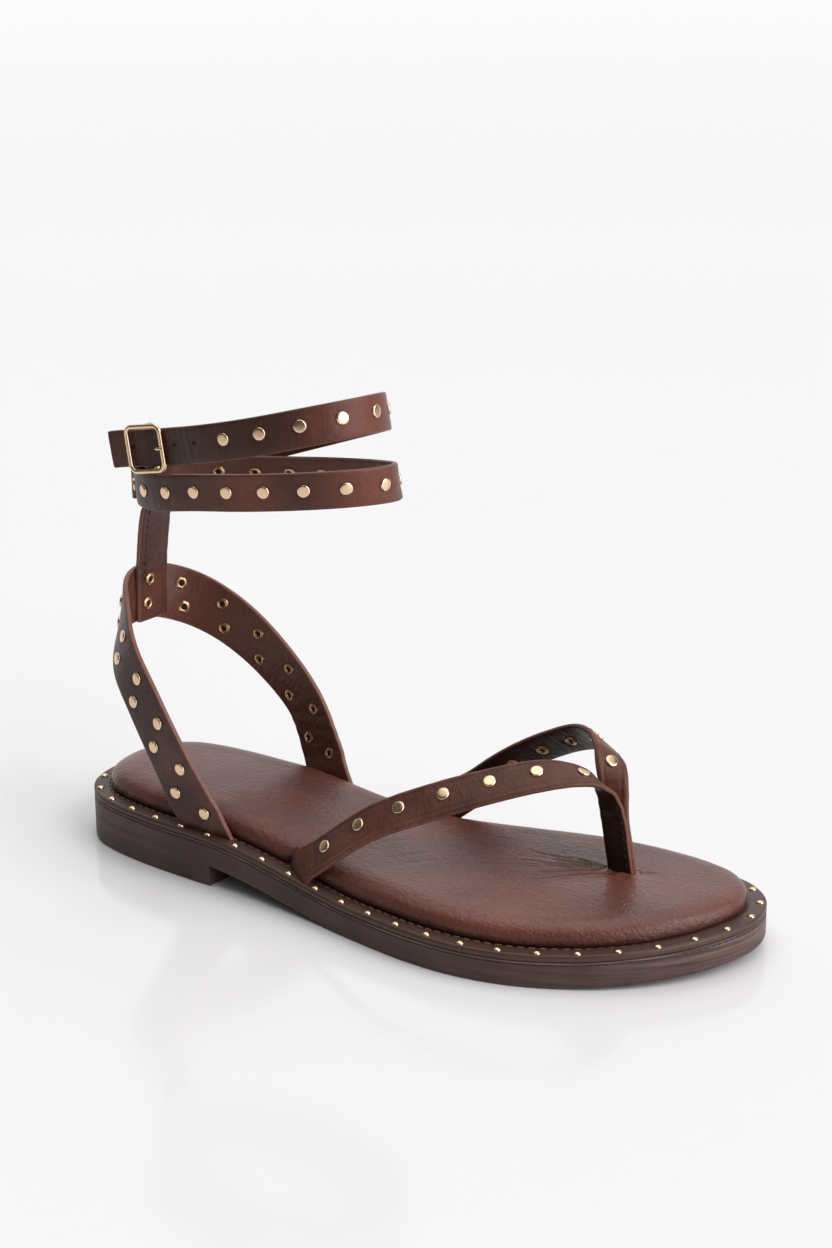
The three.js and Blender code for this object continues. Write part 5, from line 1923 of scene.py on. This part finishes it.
    def holes(self) -> None:
        """The punched holes of the ankle strap, as shallow wells painted near-black for the shade
        inside them.
        """
        Bench.deselect()
        bpy.ops.mesh.primitive_circle_add(vertices=20, radius=self.hole_radius, fill_type="NGON")
        well = Bench.named("hole_shade_well")
        Bench.edit(well)
        bpy.ops.mesh.extrude_region_move(TRANSFORM_OT_translate={"value": (0, 0, 0.12 * MM)})
        bpy.ops.mesh.inset(thickness=0.14 * MM, depth=-0.06 * MM)
        bpy.ops.mesh.select_all(action="SELECT")
        bpy.ops.mesh.normals_make_consistent(inside=False)
        Bench.done()
        for i, along in enumerate(self.hole_marks, start=1):
            for side in Side:
                s = self.ankle.at(np.array([along * MM]))
                lift = side.value * (SOLE.strap_thickness / 2 - 0.02 * MM)
                place = s.point(np.array([0.7 * MM]), np.array([lift]))[0]
                piece = Bench.copy(well, f"punched_hole_{i}_{side.name.lower()}")
                Bench.stand(piece, place, s.out[0] * side.value, s.along[0])
                Bench.dress(piece, self.finishes.hole, Slot.STRAP)
        bpy.data.objects.remove(well)

    def strap_seam(
        self, name: str, line: StrapLine, side: Side, start: float, end: float, across: Callable
    ) -> bpy.types.Object:
        """A row of stitches along a strap.

        Args:
            name: The seam's name.
            line: The strap's line.
            side: The face that shows it.
            start: Where it starts along the line.
            end: Where it ends.
            across: Gives the place across at a distance along.

        Returns:
            The seam.
        """
        count = int((end - start) / (2.4 * MM))
        s_at = np.linspace(start, end, count)
        s = line.at(s_at)
        aside = np.array([across(float(v)) for v in s_at])
        lift = np.full(count, side.value * (SOLE.strap_thickness / 2 - 0.05 * MM))
        places = s.point(aside, lift)
        spots = [(p, a, o * side.value) for p, a, o in zip(places, s.along, s.out)]
        return Bench.dress(sew(name, spots, 1.7 * MM, 0.2 * MM), self.finishes.thread, Slot.STRAP)

    def seams(self) -> None:
        """The stitch rows of the tab and the toe post."""
        self.strap_seam(
            "tab_seam_left", self.tab, Side.MINUS, 16 * MM, 44 * MM, lambda s: -4.6 * MM
        )
        cross = []
        s = self.tab.at(np.array([45.5 * MM]))
        for y in np.arange(-4.2, 4.3, 2.1):
            place = s.point(np.array([y * MM]), np.array([-SOLE.strap_thickness / 2]))[0]
            cross.append((place, s.across[0], -s.out[0]))
        row = sew("tab_seam_top", cross, 1.5 * MM, 0.2 * MM)
        Bench.dress(row, self.finishes.thread, Slot.STRAP)
        for name, line, side in (
            ("post_seam_outer", self.thong_outer, Side.MINUS),
            ("post_seam_inner", self.thong_inner, Side.PLUS),
        ):
            end = line.length
            self.strap_seam(
                name, line, side, end - 29 * MM, end - 9 * MM,
                lambda s: -(self.plan.post_width / 2 - 1.3 * MM),
            )

    def build(self) -> None:
        """Makes the whole upper."""
        rows = self.rows()
        self.straps(rows)
        rivets = Rivets(self.finishes)
        cap, eyelet = rivets.cap(), rivets.eyelet()
        for row in rows:
            row.build(rivets, cap, eyelet)
        for i, mark in enumerate(self.tab_marks, start=1):
            rivets.on(eyelet, f"tab_rivet_{i}_back", self.tab, mark, Side.MINUS)
        for model in (cap, eyelet):
            bpy.data.objects.remove(model)
        self.holes()
        self.seams()
        Buckle(self.finishes, self.ankle).build()


# Studio


@dataclass(frozen=True)
class Panel:
    """A soft bright part of the room: its direction, how it fades in, and its brightness."""

    way: tuple
    fade_from: float
    fade_to: float
    dark: float
    bright: float


@dataclass
class Studio:
    """The pale floor, the soft lights and the camera."""

    camera_place: tuple = (0.44157, -0.61377, 0.32126)
    azimuth: float = 35.2908
    elevation: float = 16.7286
    roll: float = -0.42552
    lens: float = 68.166
    floor_size: float = 60.0
    key_power: float = 0.3
    key_angle: float = 24.0
    key_way: tuple = (0.75, 0.1, 0.85)
    panels: tuple = (
        Panel((-0.578, 0.816, 0.0), 0.2, 0.85, 0.1, 0.92),
        Panel((-0.05, 0.12, 0.99), 0.74, 0.93, 0.0, 1.6),
        Panel((0.93, 0.05, 0.36), 0.72, 0.94, 0.0, 3.2),
    )

    def camera(self) -> None:
        """Sets the camera at the photograph's angle."""
        data = bpy.data.cameras.new("view")
        data.lens = self.lens
        data.clip_end = 200
        obj = bpy.data.objects.new("view", data)
        bpy.context.scene.collection.objects.link(obj)
        az, el, roll = (math.radians(v) for v in (self.azimuth, self.elevation, self.roll))
        back = Vector((math.sin(az) * math.cos(el), -math.cos(az) * math.cos(el), math.sin(el)))
        right = Vector((math.cos(az), math.sin(az), 0))
        up = back.cross(right)
        x = right * math.cos(roll) + up * math.sin(roll)
        y = up * math.cos(roll) - right * math.sin(roll)
        turn = Matrix((x, y, back)).transposed().to_4x4()
        obj.matrix_world = Matrix.Translation(Vector(self.camera_place)) @ turn
        bpy.context.scene.camera = obj

    def room(self) -> None:
        """Makes the room's light: a white sweep behind, soft panels overhead and to the right."""
        world = bpy.data.worlds.new("room")
        world.use_nodes = True
        tree = world.node_tree
        tree.nodes.clear()
        way = add(tree, "ShaderNodeTexCoord").outputs["Generated"]
        total = None
        for panel in self.panels:
            facing = add(
                tree, "ShaderNodeVectorMath", {0: way, 1: panel.way}, operation="DOT_PRODUCT"
            )
            lit = add(
                tree, "ShaderNodeMapRange",
                {"Value": facing.outputs["Value"], "From Min": panel.fade_from,
                 "From Max": panel.fade_to, "To Min": panel.dark, "To Max": panel.bright},
                interpolation_type="SMOOTHSTEP",
            )
            if total is None:
                total = lit.outputs["Result"]
            else:
                total = add(
                    tree, "ShaderNodeMath", {0: total, 1: lit.outputs["Result"]}
                ).outputs["Value"]
        sky = add(tree, "ShaderNodeBackground", {"Color": (1.0, 0.995, 1.0, 1), "Strength": total})
        add(tree, "ShaderNodeOutputWorld", {"Surface": sky.outputs["Background"]})
        bpy.context.scene.world = world

    def key(self) -> None:
        """Adds one wide soft sun from the toe side."""
        data = bpy.data.lights.new("key", "SUN")
        data.energy = self.key_power
        data.angle = math.radians(self.key_angle)
        obj = bpy.data.objects.new("key", data)
        bpy.context.scene.collection.objects.link(obj)
        obj.matrix_world = Vector(self.key_way).to_track_quat("Z", "Y").to_matrix().to_4x4()

    def floor(self, material: bpy.types.Material) -> None:
        """Lays the floor."""
        Bench.deselect()
        bpy.ops.mesh.primitive_plane_add(size=self.floor_size)
        plane = Bench.named("floor")
        plane.data.materials.append(material)

    def build(self) -> None:
        """Sets up the studio."""
        bpy.context.scene.view_settings.view_transform = "Standard"
        self.camera()
        self.room()
        self.key()
        self.floor(PlainFinish("studio_floor", "#e9e8e9", 0.12, 0.3).build())


def main() -> None:
    """Dresses the sandal and sets up its studio."""
    logging.basicConfig(level=logging.INFO, format="%(name)s: %(message)s")
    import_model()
    finishes = Finishes.build()
    upper = Upper(finishes, StrapPlan())
    upper.build()
    SoleUnit(finishes).build(upper.pressing())
    Studio().build()


if __name__ == "__main__":
    main()
